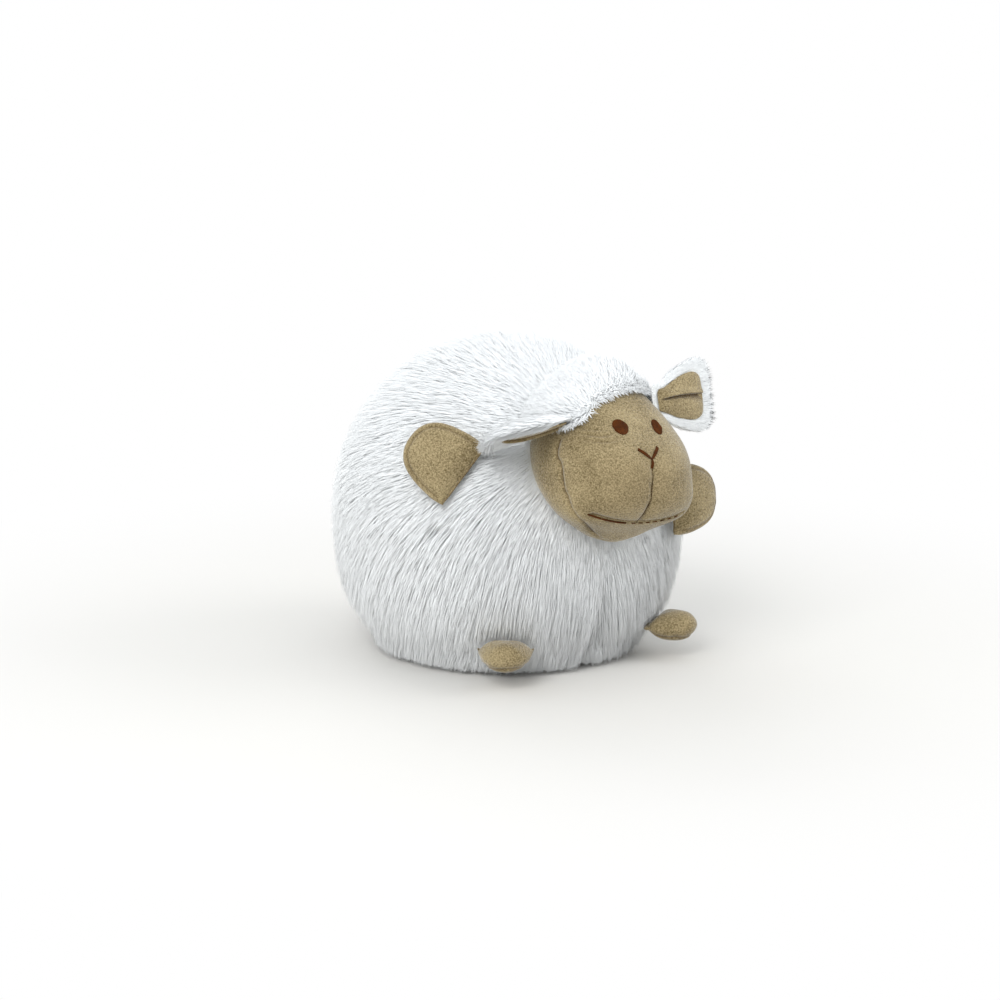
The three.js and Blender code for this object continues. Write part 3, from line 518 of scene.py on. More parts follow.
def smoothTable(levels, values, share):
    # the section table drawn as a smooth line; the ends are round, so it runs in the angle
    angle = np.arccos(1 - 2 * np.clip(levels, 0, 1))
    want = np.arccos(1 - 2 * np.clip(share, 0, 1))
    slope = np.gradient(values, angle)
    step = np.clip(np.searchsorted(angle, want) - 1, 0, len(angle) - 2)
    span = angle[step + 1] - angle[step]
    t = (want - angle[step]) / span
    a, b = values[step], values[step + 1]
    m, n = slope[step] * span, slope[step + 1] * span
    start = a * (2 * t**3 - 3 * t**2 + 1) + m * (t**3 - 2 * t**2 + t)
    return start + b * (3 * t**2 - 2 * t**3) + n * (t**3 - t**2)


def headSection(height):
    # half width, centre and half depth of a level section
    share = np.clip(height / headShape["height"] + headShape["chinShare"], 0, 1)
    width = np.maximum(smoothTable(headLevels, headWidths, share), 0) * headShape["halfWidth"]
    centre = smoothTable(headLevels, headCentres, share) * headShape["halfDepth"]
    depth = np.maximum(smoothTable(headLevels, headDepths, share), 0) * headShape["halfDepth"]
    return width, centre, depth


def headSurface(height, turn, inflate=0.0):
    # points of the head from their level above the middle and the turn about z, from +x
    width, centre, depth = headSection(height)
    share = height / headShape["height"] + headShape["chinShare"]
    fade = np.sqrt(np.clip(4 * share * (1 - share), 0, 1))
    bend = 2 / headShape["squareness"]
    cosine, sine = np.cos(turn), np.sin(turn)
    across = (width + inflate * fade) * np.sign(cosine) * np.abs(cosine) ** bend
    along = centre + (depth + inflate * fade) * np.sign(sine) * np.abs(sine) ** bend
    return np.stack([across, along, height + inflate * (2 * share - 1)], -1)


def facePoint(across, height):
    # a point on the front of the head from its place across and above the middle
    width, centre, depth = headSection(height)
    ratio = np.clip(np.abs(across / width), 0, 1) ** headShape["squareness"]
    return np.stack([across, centre - depth * (1 - ratio) ** (1 / headShape["squareness"]), height], -1)


faceSeams = {
    # how deep and wide each seam is, how it pulls on the velour beside it and how much painted shade lies in
    # its crease
    "cheek": {"depth": 1.3, "width": 1.5, "pull": 0.6, "dark": 0.85},
    "centre": {"depth": 1.5, "width": 1.5, "pull": 1.0, "dark": 0.8},
    "mouth": {"depth": 1.5, "width": 1.7, "pull": 0.8, "dark": 0.6},
    "pullWidth": 7,
    "darkShare": 0.55,
    # the left cheek's seam from under the ear down to the chin; the right one mirrors it
    "cheekLine": [
        (41.2, -2.4, 11),
        (43.3, -3.6, 2.2),
        (43.6, -8.5, -2.5),
        (44, -14, -14.4),
        (43.5, -17.5, -19.1),
        (41.9, -19.4, -24.2),
        (38.5, -21, -29.2),
        (31.5, -20, -34.8),
        (20.7, -14.4, -40.9),
        (9, -10, -45),
    ],
    "centreLine": [(0, 0.5), (0, -5), (-0.4, -11), (-0.2, -18), (-0.9, -24), (-0.8, -29), (-0.3, -33)],
    "mouthHalf": 33,
    "mouthHeight": -33.2,
    "mouthRise": 5,
}
facePuckers = {
    "place": (-27, 14.5),
    "reach": (10, 4.5),
    "front": 12,
    "depth": 0.45,
    "pitch": 2.9,
    "slant": 0.17,
    "sway": 0.9,
    "swayLength": 5,
    # painted shade in the hollows of the folds
    "dark": 0.5,
}
# painted shade over the middle of the muzzle
muzzlePaintedShade = {"place": (-8.0, -12.0), "widening": 1.3, "reach": 22, "dark": 0.33}


def mouthPlaces(low, high, count):
    across = np.linspace(low, high, count)
    height = faceSeams["mouthHeight"] + faceSeams["mouthRise"] * (across / faceSeams["mouthHalf"]) ** 2
    return np.column_stack([across, height])


def onFront(tree, places):
    # points of the head's front at places across and above the middle
    return np.array([tree.ray_cast(Vector((x, -99, z)), Vector((0, 1, 0)))[0] for x, z in places])


def puckers(points, fold):
    # the velour puckers in nearly level folds from the right ear towards the bridge of the nose
    x, z = points[:, 0], points[:, 2]
    region = hump(x - fold["place"][0], fold["reach"][0]) * hump(z - fold["place"][1], fold["reach"][1])
    rise = z - fold["slant"] * x + fold["sway"] * np.sin(x / fold["swayLength"])
    return region * (points[:, 1] < fold["front"]), np.sin(2 * math.pi * rise / fold["pitch"])


def makeHead(shape, seams):
    columns, rows, chin = shape["columns"], shape["rows"], shape["chinShare"]
    angle = math.pi * (np.arange(rows) + 0.5) / rows
    heights = ((1 - np.cos(angle)) / 2 - chin) * shape["height"]
    turn = 2 * math.pi * np.arange(columns) / columns
    rings = [headSurface(np.full(columns, h), turn) for h in heights]
    low, high = (headSurface(np.array([(end - chin) * shape["height"]]), np.zeros(1)) for end in (0, 1))
    piece = smoothed(loftPiece("headVelour", [low, *rings, high], tanVelour), 4, 0.5)
    points, normals = corners(piece), corners(piece, "normal")
    work = bmesh.new()
    work.from_mesh(piece.data)
    tree = BVHTree.FromBMesh(work)
    work.free()
    sink, draw, shade = (np.zeros(len(points)) for _ in range(3))
    half = seams["mouthHalf"]
    cheeks = [smoothCurve(np.array(seams["cheekLine"]) * (side, 1, 1), 90) for side in (-1, 1)]
    for line, seam in (
        (cheeks[0], seams["cheek"]),
        (cheeks[1], seams["cheek"]),
        (onFront(tree, smoothCurve(seams["centreLine"], 50)), seams["centre"]),
        (onFront(tree, mouthPlaces(-half, half, 60)), seams["mouth"]),
    ):
        away = nearestOnLine(points, line)
        sink = np.maximum(sink, seam["depth"] * hump(away, seam["width"]))
        draw = np.maximum(draw, seam["pull"] * hump(away, seams["pullWidth"]))
        # painted shade along each seam's crease
        shade = np.maximum(shade, seam["dark"] * hump(away, seams["darkShare"] * seam["width"]))
    region, wave = puckers(points, facePuckers)
    sink += draw + facePuckers["depth"] * region * wave
    # painted shade in the hollows of the puckers
    shade = np.maximum(shade, facePuckers["dark"] * region * np.maximum(wave, 0))
    # painted shade darkens the middle of the muzzle, where the nap catches less light than at the head's
    # sides
    muzzle = (points - facePoint(*muzzlePaintedShade["place"])) / (muzzlePaintedShade["widening"], 1, 1)
    shade = np.maximum(shade, muzzlePaintedShade["dark"] * hump(np.linalg.norm(muzzle, axis=1), muzzlePaintedShade["reach"]))
    setCorners(piece, points - normals * sink[:, None])
    storeNumbers(piece, "seamShade", shade)
    return toRow(piece, headPlace)


headVelour = makeHead(headShape, faceSeams)
print("head made:", len(headVelour.data.polygons), "faces")


# Arms and feet: stuffed D-shaped paddles that are sewn on along their straight edge

limbShapes = {
    "arm": {"length": 41, "width": 46, "half": 6.5, "power": 2.55, "seam": 3, "rounding": 18},
    "foot": {"length": 32, "width": 36, "half": 9, "power": 2.2, "seam": 3, "rounding": 45},
}
limbPlaces = {
    "arm_left": {"shape": "arm", "side": 1, "azimuth": 30, "height": 14, "aim": 186, "lift": 19},
    "arm_right": {"shape": "arm", "side": -1, "azimuth": 49.5, "height": 38, "aim": 147, "lift": 10},
    "foot_left": {"shape": "foot", "side": 1, "azimuth": 36, "height": -62, "aim": 90, "lift": 52},
    "foot_right": {"shape": "foot", "side": -1, "azimuth": 36, "height": -62, "aim": 90, "lift": 52},
}
limbSewing = {
    "outlinePoints": 150,
    "rows": 20,
    "fullest": 0.55,  # share of the length where the pad is thickest
    "rawHalf": 0.8,  # thickness before stuffing, as a share of the full one
    "seamDepth": 0.8,
    "seamWidth": 0.8,
    "seamInset": 2.6,
    "seamFade": 4,
    # painted shade in the sunk seam and, over baseShade millimetres, along the sewn-on base
    "seamDark": 0.5,
    "pinned": 0.6,
    "basePinch": 0.62,
    "pinchReach": 9,
    "baseShade": 2.5,
}
stuffing = {
    "quality": 6,
    "mass": 0.15,
    "tension_stiffness": 12,
    "compression_stiffness": 12,
    "shear_stiffness": 6,
    "bending_stiffness": 0.6,
    "use_pressure": True,
    "uniform_pressure_force": 4,
    "vertex_group_mass": "sewn",
    "pin_stiffness": 1,
    "shrink_min": -0.05,
}
stuffingSteps = 20
stuffingReach = 2.2
clothGap = 0.3
padRoundness = 0.62


def ballRadiusAt(height):
    radius, level = ballOutline(ball)
    return float(np.interp(height + ball["restHeight"], level, radius))


def hingeFrame(point, along, outward):
    seam = outward.cross(along).normalized()
    out = along.normalized()
    turned = Matrix((out, seam, out.cross(seam))).transposed().to_4x4()
    return Matrix.Translation(point) @ turned


def limbFrame(place):
    turn = math.radians(place["azimuth"])
    side, step = place["side"], limbShapes[place["shape"]]["seam"]
    plan = Vector((side * math.sin(turn), -math.cos(turn), 0))
    slope = (ballRadiusAt(place["height"] - step) - ballRadiusAt(place["height"] + step)) / (2 * step)
    normal = Vector((plan.x, plan.y, slope)).normalized()
    towardsHead = Vector((-side * math.cos(turn), -math.sin(turn), 0))
    up = (Vector((0, 0, 1)) - normal * normal.z).normalized()
    aim, lift = math.radians(place["aim"]), math.radians(place["lift"])
    along = (towardsHead * math.cos(aim) + up * math.sin(aim)) * math.cos(lift) + normal * math.sin(lift)
    point = plan * ballRadiusAt(place["height"])
    point.z = ball["restHeight"] + place["height"]
    return hingeFrame(point + normal * (step + clothGap), along, normal)


def padMesh(name, outline, centre, heights, rows, material):
    # closed pad over an outline, with a height below and above its plane
    below, above = heights
    shares = np.sin(math.pi / 2 * (np.arange(rows) + 1) / (rows + 1))

    def ring(share, height):
        rise = np.full(len(outline), height * (1 - share * share) ** padRoundness)
        return np.column_stack([centre + (outline[:, 0] - centre) * share, outline[:, 1] * share, rise])

    rings = [ring(s, -below) for s in shares] + [ring(1, 0)] + [ring(s, above) for s in shares[::-1]]
    return loftPiece(name, [[(centre, 0, -below)], *rings, [(centre, 0, above)]], material)


def plump(piece, pinned):
    # blows the sewn pad up as its filling does; pinned corners stay, and none moves too far
    before = corners(piece)
    group = piece.vertex_groups.new(name=stuffing["vertex_group_mass"])
    group.add([int(k) for k in np.nonzero(pinned)[0]], 1.0, "REPLACE")
    modifier = piece.modifiers.new("stuffing", "CLOTH")
    for key, value in stuffing.items():
        setattr(modifier.settings, key, value)
    modifier.settings.effector_weights.gravity = 0
    modifier.collision_settings.use_collision = False
    modifier.point_cache.frame_start = 1
    modifier.point_cache.frame_end = stuffingSteps
    for step in range(1, stuffingSteps + 1):
        scene.frame_set(step)
    evaluated = piece.evaluated_get(bpy.context.evaluated_depsgraph_get())
    after = np.array([v.co for v in evaluated.data.vertices])
    piece.modifiers.remove(modifier)
    piece.vertex_groups.clear()
    scene.frame_set(1)
    move = after - before
    size = np.linalg.norm(move, axis=1)
    move *= np.minimum(1, stuffingReach * mm / np.maximum(size, 1e-9))[:, None]
    setCorners(piece, before + move)


def limbOutline(shape, steps=80):
    angle = math.pi * (np.arange(steps + 1) / steps - 0.5)
    bend, half = 2 / shape["power"], shape["width"] / 2
    reach = shape["length"] * np.maximum(0, np.cos(angle)) ** bend
    across = half * np.sign(np.sin(angle)) * np.abs(np.sin(angle)) ** bend
    base = np.column_stack([np.zeros(steps // 2), np.linspace(1, -1, steps // 2 + 2)[1:-1] * half])
    outline = evenLoop(np.vstack([np.column_stack([reach, across]), base]), limbSewing["outlinePoints"])
    for _ in range(shape["rounding"]):  # rounds the two corners
        outline = (outline + np.roll(outline, 1, 0) + np.roll(outline, -1, 0)) / 3
    return outline


def makeLimb(name, place, sewing):
    shape = limbShapes[place["shape"]]
    outline = limbOutline(shape)
    half, middle = shape["half"] * sewing["rawHalf"], shape["length"] * sewing["fullest"]
    pad = padMesh(name, outline, middle, (half, half), sewing["rows"], tanVelour)
    rim = 1 + sewing["rows"] * len(outline) + np.arange(len(outline))
    pinned = corners(pad)[:, 0] < sewing["pinned"]
    plump(toRow(pad), pinned)
    toRow(pad, scale=1 / mm)
    smoothed(pad, 2, 0.4)
    points, normals = corners(pad), corners(pad, "normal")
    # thickness of the CAD pad, pinched where it is sewn on
    points[:, 2] *= shape["half"] / np.abs(points[:, 2]).max()
    pinch = smoothStep(0, sewing["pinchReach"], points[:, 0])
    points[:, 2] *= sewing["basePinch"] + (1 - sewing["basePinch"]) * pinch
    # the seam runs a little inside the rim of the outer face
    loop = np.vstack([points[rim], points[rim][:1]])[:, :2]
    inset = np.abs(nearestOnLine(points[:, :2], loop) - sewing["seamInset"])
    onSeam = hump(inset, sewing["seamWidth"]) * (points[:, 2] > 0.5)
    onSeam *= smoothStep(sewing["seamInset"], sewing["seamInset"] + sewing["seamFade"], points[:, 0])
    setCorners(pad, points - normals * (sewing["seamDepth"] * onSeam)[:, None])
    # painted shade in the sunk seam and along the sewn-on base, where the pad meets the body
    base = smoothStep(sewing["baseShade"], 0, points[:, 0])
    storeNumbers(pad, "seamShade", sewing["seamDark"] * np.maximum(onSeam, base))
    return toRow(pad, limbFrame(place))


limbPieces = {
    name: makeLimb(name.replace("_", "") + "Velour", place, limbSewing) for name, place in limbPlaces.items()
}
print("limbs made")


# Ears

earShape = {
    "length": 47,
    "width": 45,
    "backHeight": 4.6,
    "frontHeight": 0.8,
    "backStart": -0.02,
    "backLength": 0.98,
    "backWidth": 0.9,
    "liningHeight": 2.2,
    "liningLength": 0.79,
    "liningWidth": 0.62,
    "liningStart": 0.05,
    "liningBelow": 0.6,
    "seam": 2.6,
    "seatDepth": 4.4,
    "pleatDepth": 1.7,
    "pleatWidth": (0.8, 4.6),  # of the shaded hollow at the ear's root and at its tip
    "pleatSway": 1.2,
    "lapDepth": 0.7,
    "lapWidth": 3,
    # in front heights: where the lining lies, where its fold is full and how far it may rise
    "liningLevels": (1.5, 2.2, 1.2),
    "backMesh": (96, 10),  # points of the outline and rows
    "liningMesh": (180, 34),
    "outline": [(0, 0.2), (0.18, 0.28), (0.45, 0.42), (0.75, 0.5), (0.93, 0.45), (1, 0.27)],
}
earPlaces = {
    "ear_left": {
        "side": 1,
        "seat": 32.5,
        "along": (0.98, 0.16, 0),
        "lining": (-0.1, -0.97, 0.15),
        "pleat": -0.5,
    },
    "ear_right": {
        "side": -1,
        "seat": 22,
        "along": (-0.862, 0.443, -0.246),
        "lining": (-0.1, -0.29, -0.95),
        "pleat": 4,
    },
}


def earPad(name, shape, part, heights, material):
    start, long, wide = (shape[part + word] for word in ("Start", "Length", "Width"))
    count, rows = shape[part + "Mesh"]
    side = [((start + a * long) * shape["length"], h * wide * shape["width"]) for a, h in shape["outline"]]
    loop = side + [(x, -y) for x, y in side[::-1]]
    outline = evenLoop(smoothCurve([*loop, loop[0]], 240)[:-1], count)
    return padMesh(name, outline, shape["length"] * 0.5, heights, rows, material)


def earFrame(shape, place):
    share = place["seat"] / headShape["height"] + headShape["chinShare"]
    width = float(np.interp(share, headLevels, headWidths)) * headShape["halfWidth"]
    centre = float(np.interp(share, headLevels, headCentres)) * headShape["halfDepth"]
    depth = float(np.interp(share, headLevels, headDepths)) * headShape["halfDepth"]
    ratio = abs((shape["seatDepth"] + centre) / depth) ** headShape["squareness"]
    out = width * (1 - ratio) ** (1 / headShape["squareness"]) + shape["seam"] + clothGap
    point = headPlace @ Vector((place["side"] * out, -shape["seatDepth"], place["seat"]))
    return hingeFrame(point, Vector(place["along"]), -Vector(place["lining"]))


def makeEar(name, shape, place):
    frameHere = earFrame(shape, place)
    front = shape["frontHeight"]
    back = earPad(name + "Backing", shape, "back", (front, shape["backHeight"]), pileBacking)
    deep = shape["liningHeight"] + shape["liningBelow"]
    lining = earPad(name + "Lining", shape, "lining", (deep, 0), tanVelour)
    points = corners(lining)
    lies, full, rises = (-front * level for level in shape["liningLevels"])
    points[:, 2] += lies
    # one fold runs along the lining, where the ear was folded as it was sewn on: its upper half
    # laps the lower
    along = points[:, 0] / shape["length"]
    beyond = points[:, 1] - place["pleat"] + shape["pleatSway"] * np.sin(4 * along)
    narrow, wide = shape["pleatWidth"]
    hollow = hump(np.maximum(beyond, 0), narrow + (wide - narrow) * along**1.5)
    hollow *= smoothStep(-0.7, 0.2, beyond)
    lap = hump(np.minimum(beyond, 0), shape["lapWidth"]) * smoothStep(0.4, -0.5, beyond)
    facing = smoothStep(lies, full, points[:, 2]) * smoothStep(0.04, 0.2, along)
    points[:, 2] += (hollow - shape["lapDepth"] * lap) * shape["pleatDepth"] * facing
    points[:, 2] = np.minimum(points[:, 2], rises * facing)
    setCorners(lining, points)
    # painted shade in the fold's hollow, below the lapping upper half
    storeNumbers(lining, "seamShade", hollow * facing)
    return toRow(back, frameHere), toRow(lining, frameHere), frameHere


earPieces = {name: makeEar(name.replace("_", ""), earShape, place) for name, place in earPlaces.items()}
print("ears made")


# Long pile: strands grown from a guide surface that says how they lie

strandShape = {
    # in metres: how deep and how near a root is inside or against a piece, and from what gap on
    # to what gap a strand has more room
    "clearDepth": 0.032,
    "clearGap": 0.0011,
    "room": (0.001, 0.012),
    "leastRoom": 0.65,
    "waves": 38.0,  # broad turns of the nap in a metre
    # spread over the strands and least value; the layers' heights are in metres
    "lengths": (0.5, 0.72),
    "lifts": (0.7, 0.6),
    "layers": (0.0024, 0.0007),
    "tones": (0.07, 0.93),
    # change along or across a strand and value at its start
    "taper": (-0.55, 1.0),
    "bakeAcross": (0.3, 0.5),
    "bakeAlong": (0.8, 0.1),
}
combLabels = ("pileLength", "pileLift", "pileDroop", "pileClump")


def newGroup(name, sockets, result):
    # node group with its inputs, (kind, value) by label, and one output
    tree = bpy.data.node_groups.new(name, "GeometryNodeTree")
    for label, (kind, value) in sockets.items():
        socket = tree.interface.new_socket(label, in_out="INPUT", socket_type="NodeSocket" + kind)
        if value is not None:
            socket.default_value = value
    tree.interface.new_socket(result, in_out="OUTPUT", socket_type="NodeSocketGeometry")
    return tree, addNode(tree, "NodeGroupInput").outputs


def strandTree(shape):
    sockets = {
        "Guide": ("Geometry", None),
        "Strands per Square Metre": ("Float", 8e5),
        "Strand Width": ("Float", 0.0007),
        "Clump Size": ("Float", 0.008),
        "Clump Pull": ("Float", 0.3),
        "Flow Wander": ("Float", 0.6),
        "Strand Wander": ("Float", 0.5),
        "Fibre Relief": ("Float", 0.4),
        "Keep Clear": ("Object", None),
        "Bake Columns": ("Int", 128),
        "Seed": ("Int", 1),
        "Fibre": ("Material", None),
    }
    tree, given = newGroup("longPileStrands", sockets, "Strands")
    node, number, vector, scaled = (partial(f, tree) for f in (addNode, numberNode, vectorNode, scaledNode))

    def less(value, limit):
        inputs = {"A": value, "B": limit}
        return node("FunctionNodeCompare", inputs, data_type="FLOAT", operation="LESS_THAN")

    def stored(geometry, name, value, kind, domain="POINT"):
        inputs = {"Geometry": geometry, "Name": name, "Value": value}
        return node("GeometryNodeStoreNamedAttribute", inputs, data_type=kind, domain=domain)

    def known(name, kind="FLOAT"):
        return node("GeometryNodeInputNamedAttribute", {"Name": name}, data_type=kind)

    density, seed = given["Strands per Square Metre"], given["Seed"]
    inputs = {"Mesh": given["Guide"], "Density": density, "Seed": seed}
    roots = node("GeometryNodeDistributePointsOnFaces", inputs).outputs
    place = node("GeometryNodeInputPosition")
    # roots inside or against the head and limbs are taken out
    clear = node("GeometryNodeObjectInfo", {"Object": given["Keep Clear"]}, transform_space="RELATIVE")
    clear = clear.outputs["Geometry"]
    nearest = node("GeometryNodeProximity", {0: clear}, target_element="FACES").outputs
    distance = nearest["Distance"]
    inputs = {"Mesh": clear, "Value": node("GeometryNodeInputNormal"), "Sample Position": place}
    facing = node("GeometryNodeSampleNearestSurface", inputs, data_type="FLOAT_VECTOR")
    offset = vector("SUBTRACT", place, nearest["Position"])
    behind = less(vector("DOT_PRODUCT", offset, facing), 0.0)
    near, against = less(distance, shape["clearDepth"]), less(distance, shape["clearGap"])
    within = node("FunctionNodeBooleanMath", {0: behind, 1: near}, operation="AND")
    either = node("FunctionNodeBooleanMath", {0: within, 1: against}, operation="OR")
    kept = {"Geometry": roots["Points"], "Selection": either}
    flow = node("GeometryNodeDeleteGeometry", kept, domain="POINT")
    # strands lie flatter where another piece rests on them
    low, high = shape["room"]
    inputs = {"Value": distance, "From Min": low, "From Max": high, "To Min": shape["leastRoom"]}
    room = node("ShaderNodeMapRange", inputs, interpolation_type="SMOOTHSTEP")
    inputs = {"Min": (0, 0, 0), "Max": (1, 1, 1), "Seed": seed}
    chance = node("FunctionNodeRandomValue", inputs, data_type="FLOAT_VECTOR")
    cells = number("DIVIDE", 1.0, given["Clump Size"])
    clumps = node("ShaderNodeTexVoronoi", {"Vector": place, "Scale": cells}, feature="F1")
    rootNotes = {
        "rootPlace": (place, "FLOAT_VECTOR"),
        "rootNormal": (roots["Normal"], "FLOAT_VECTOR"),
        "rootChance": (chance, "FLOAT_VECTOR"),
        "clumpPlace": (clumps.outputs["Position"], "FLOAT_VECTOR"),
        "rootRoom": (room, "FLOAT"),
        "rootIndex": (node("GeometryNodeInputIndex"), "FLOAT"),
    }
    for name, (value, kind) in rootNotes.items():
        flow = stored(flow, name, value, kind)

    cone = {"Vertices": 3, "Side Segments": 2, "Radius Top": 0.0, "Radius Bottom": 1.0, "Depth": 1.0}
    strand = node("GeometryNodeMeshCone", cone, fill_type="NONE").outputs["Mesh"]
    copies = node("GeometryNodeInstanceOnPoints", {"Points": flow, "Instance": strand})
    real = node("GeometryNodeRealizeInstances", {"Geometry": copies})

    root, normal = known("rootPlace", "FLOAT_VECTOR"), known("rootNormal", "FLOAT_VECTOR")
    chances = known("rootChance", "FLOAT_VECTOR")
    luck = node("ShaderNodeSeparateXYZ", {0: chances}).outputs
    local = node("ShaderNodeSeparateXYZ", {0: vector("SUBTRACT", place, root)}).outputs
    along = local["Z"]
    squared = number("POWER", along, 2.0)

    # which way each strand lies on the surface
    noise = node("ShaderNodeTexNoise", {"Vector": root, "Scale": shape["waves"], "Detail": 1.0})
    way = known("combWay", "FLOAT_VECTOR")
    for draw, amount in ((noise.outputs["Color"], "Flow Wander"), (chances, "Strand Wander")):
        way = vector("ADD", way, scaled(vector("SUBTRACT", draw, (0.5, 0.5, 0.5)), given[amount]))
    lifted = scaled(normal, vector("DOT_PRODUCT", way, normal))
    flat = vector("NORMALIZE", vector("SUBTRACT", way, lifted))
    side = vector("CROSS_PRODUCT", normal, flat)

    # its centre line: along the surface, up from it, down with its weight and into its clump
    length = number("MULTIPLY", known("pileLength"), number("MULTIPLY_ADD", luck["X"], *shape["lengths"]))
    lift = number("MULTIPLY", known("pileLift"), number("MULTIPLY_ADD", luck["Y"], *shape["lifts"]))
    lift = number("MULTIPLY", lift, known("rootRoom"))
    rest = number("POWER", number("SUBTRACT", 1.0, along), 2.0)
    rise = number("MULTIPLY", number("SUBTRACT", 1.0, rest), lift)
    reach = number("MULTIPLY", length, along)
    droop = number("MULTIPLY", number("MULTIPLY", known("pileDroop"), squared), length)
    toClump = vector("SUBTRACT", known("clumpPlace", "FLOAT_VECTOR"), root)
    pull = number("MULTIPLY", number("MULTIPLY", given["Clump Pull"], squared), known("pileClump"))
    centre = root
    for direction, amount in ((flat, reach), (normal, rise), ((0, 0, -1), droop), (toClump, pull)):
        centre = vector("ADD", centre, scaled(direction, amount))
    # strands that reach the table lie on it in layers
    layer = number("MULTIPLY_ADD", luck["Z"], *shape["layers"])
    table = node("ShaderNodeCombineXYZ", {"X": -9.0, "Y": -9.0, "Z": layer})
    centre = vector("MAXIMUM", centre, table)

    # its round, tapering skin
    around = node("ShaderNodeCombineXYZ", {"X": local["X"], "Y": local["Y"], "Z": 0.0})
    around = node("ShaderNodeSeparateXYZ", {0: vector("NORMALIZE", around)}).outputs
    radius = number("MULTIPLY", given["Strand Width"], 0.5)
    radius = number("MULTIPLY", radius, number("MULTIPLY_ADD", squared, *shape["taper"]))
    wide = scaled(side, number("MULTIPLY", around["X"], radius))
    tall = scaled(normal, number("MULTIPLY", around["Y"], radius))
    final = vector("ADD", centre, vector("ADD", wide, tall))

    real = stored(real, "alongStrand", along, "FLOAT")
    real = stored(real, "strandTone", number("MULTIPLY_ADD", luck["Z"], *shape["tones"]), "FLOAT")
    # each strand has a small cell of its own in the picture that its colour can be baked to
    index, columns = known("rootIndex"), given["Bake Columns"]
    row = number("FLOOR", number("DIVIDE", index, columns))
    column = number("MODULO", index, columns)
    bakeX = number("ADD", number("MULTIPLY_ADD", around["X"], *shape["bakeAcross"]), column)
    bakeY = number("ADD", row, number("MULTIPLY_ADD", along, *shape["bakeAlong"]))
    bakePlace = node("ShaderNodeCombineXYZ", {"X": bakeX, "Y": bakeY})
    bakePlace = scaled(bakePlace, number("DIVIDE", 1.0, columns))
    real = stored(real, "OFBake", bakePlace, "FLOAT2", "CORNER")
    moved = node("GeometryNodeSetPosition", {"Geometry": real, "Position": final})
    # fine fibres scatter light as one soft surface, so each leans most of the way to the nap's normal
    ownFacing = scaled(node("GeometryNodeInputNormal"), given["Fibre Relief"])
    facing = vector("NORMALIZE", vector("ADD", ownFacing, normal))
    smooth = node("GeometryNodeSetShadeSmooth", {"Geometry": moved, "Shade Smooth": True})
    inputs = {"Mesh": smooth, "Custom Normal": facing}
    moved = node("GeometryNodeSetMeshNormal", inputs, mode="FREE", domain="POINT")
    for name in (*rootNotes, "combWay", *combLabels, "UVMap"):
        moved = node("GeometryNodeRemoveAttribute", {"Geometry": moved, "Name": name})
    dressed = node("GeometryNodeSetMaterial", {"Geometry": moved, "Material": given["Fibre"]})
    node("NodeGroupOutput", {"Strands": dressed})
    return tree


pileStrands = strandTree(strandShape)


def built(name, guide, group, settings):
    # plain mesh of what a node group makes of a guide, which is removed
    modifier = guide.modifiers.new(group.name, "NODES")
    modifier.node_group = group
    inputs = {item.name: item.identifier for item in group.interface.items_tree if item.in_out == "INPUT"}
    for label, value in settings.items():
        modifier[inputs[label]] = value
    evaluated = guide.evaluated_get(bpy.context.evaluated_depsgraph_get())
    mesh = bpy.data.meshes.new_from_object(evaluated)
    mesh.name = name
    piece = linked(name, mesh)
    bpy.data.objects.remove(guide)
    return piece


def grow(name, guide, clear, strands, area, seed, fibre):
    settings = {**fibre, "Seed": seed, "Keep Clear": clear, "Fibre": whitePile}
    piece = built(name, guide, pileStrands, {**settings, "Strands per Square Metre": strands / area})
    print(name, "strands:", len(piece.data.polygons) // 6)
    return piece


def combed(guide, comb, length, lift, droop, clump):
    # length and lift in millimetres
    attribute = guide.data.attributes.new("combWay", "FLOAT_VECTOR", "POINT")
    attribute.data.foreach_set("vector", np.asarray(comb, np.float32).ravel())
    for label, values in zip(combLabels, (length * mm, lift * mm, droop, clump)):
        storeNumbers(guide, label, values + np.zeros(len(comb)))


def joinedCopy(name, pieces):
    work = bmesh.new()
    for piece in pieces:
        work.from_mesh(piece.data)
    mesh = bpy.data.meshes.new(name)
    work.to_mesh(mesh)
    work.free()
    return linked(name, mesh)


def guideArea(guide):
    return sum(p.area for p in guide.data.polygons)


bodyPile = {
    "panels": 8,
    "columns": 24,
    "rows": 70,
    "lowest": 6,
    "topRadius": 0.4,
    "strands": 18500,
    "seed": 11,
    "fibre": {
        "Strand Width": 0.62 * mm,
        "Fibre Relief": 0.22,
        "Clump Size": 8 * mm,
        "Clump Pull": 0.25,
        "Flow Wander": 0.9,
        "Strand Wander": 0.45,
        "Bake Columns": 128,
    },
    # on the upper part of the ball and on the lower one
    "length": (15, 21),
    "lift": (9.5, 8.5),
    "lowLevels": (120, 55),
    "hang": (0.4, 1.5),  # everywhere, and what the lower part hangs more
    "napStart": (0, -100, 148),  # hidden under the head; the nap runs away from it and hangs
    "napRise": (40, 110),
    "partingWidth": 9,
    "partingPush": 1.1,
    "partingLevels": (120, 80),
    "partingTrough": 3.5,
    "partingShorter": 0.35,
    "partingFlatter": 0.45,
    "floorLevels": (-8, 18),
    "leastRise": 0.45,
    "droop": 0.12,
    "leastClump": 0.15,
}


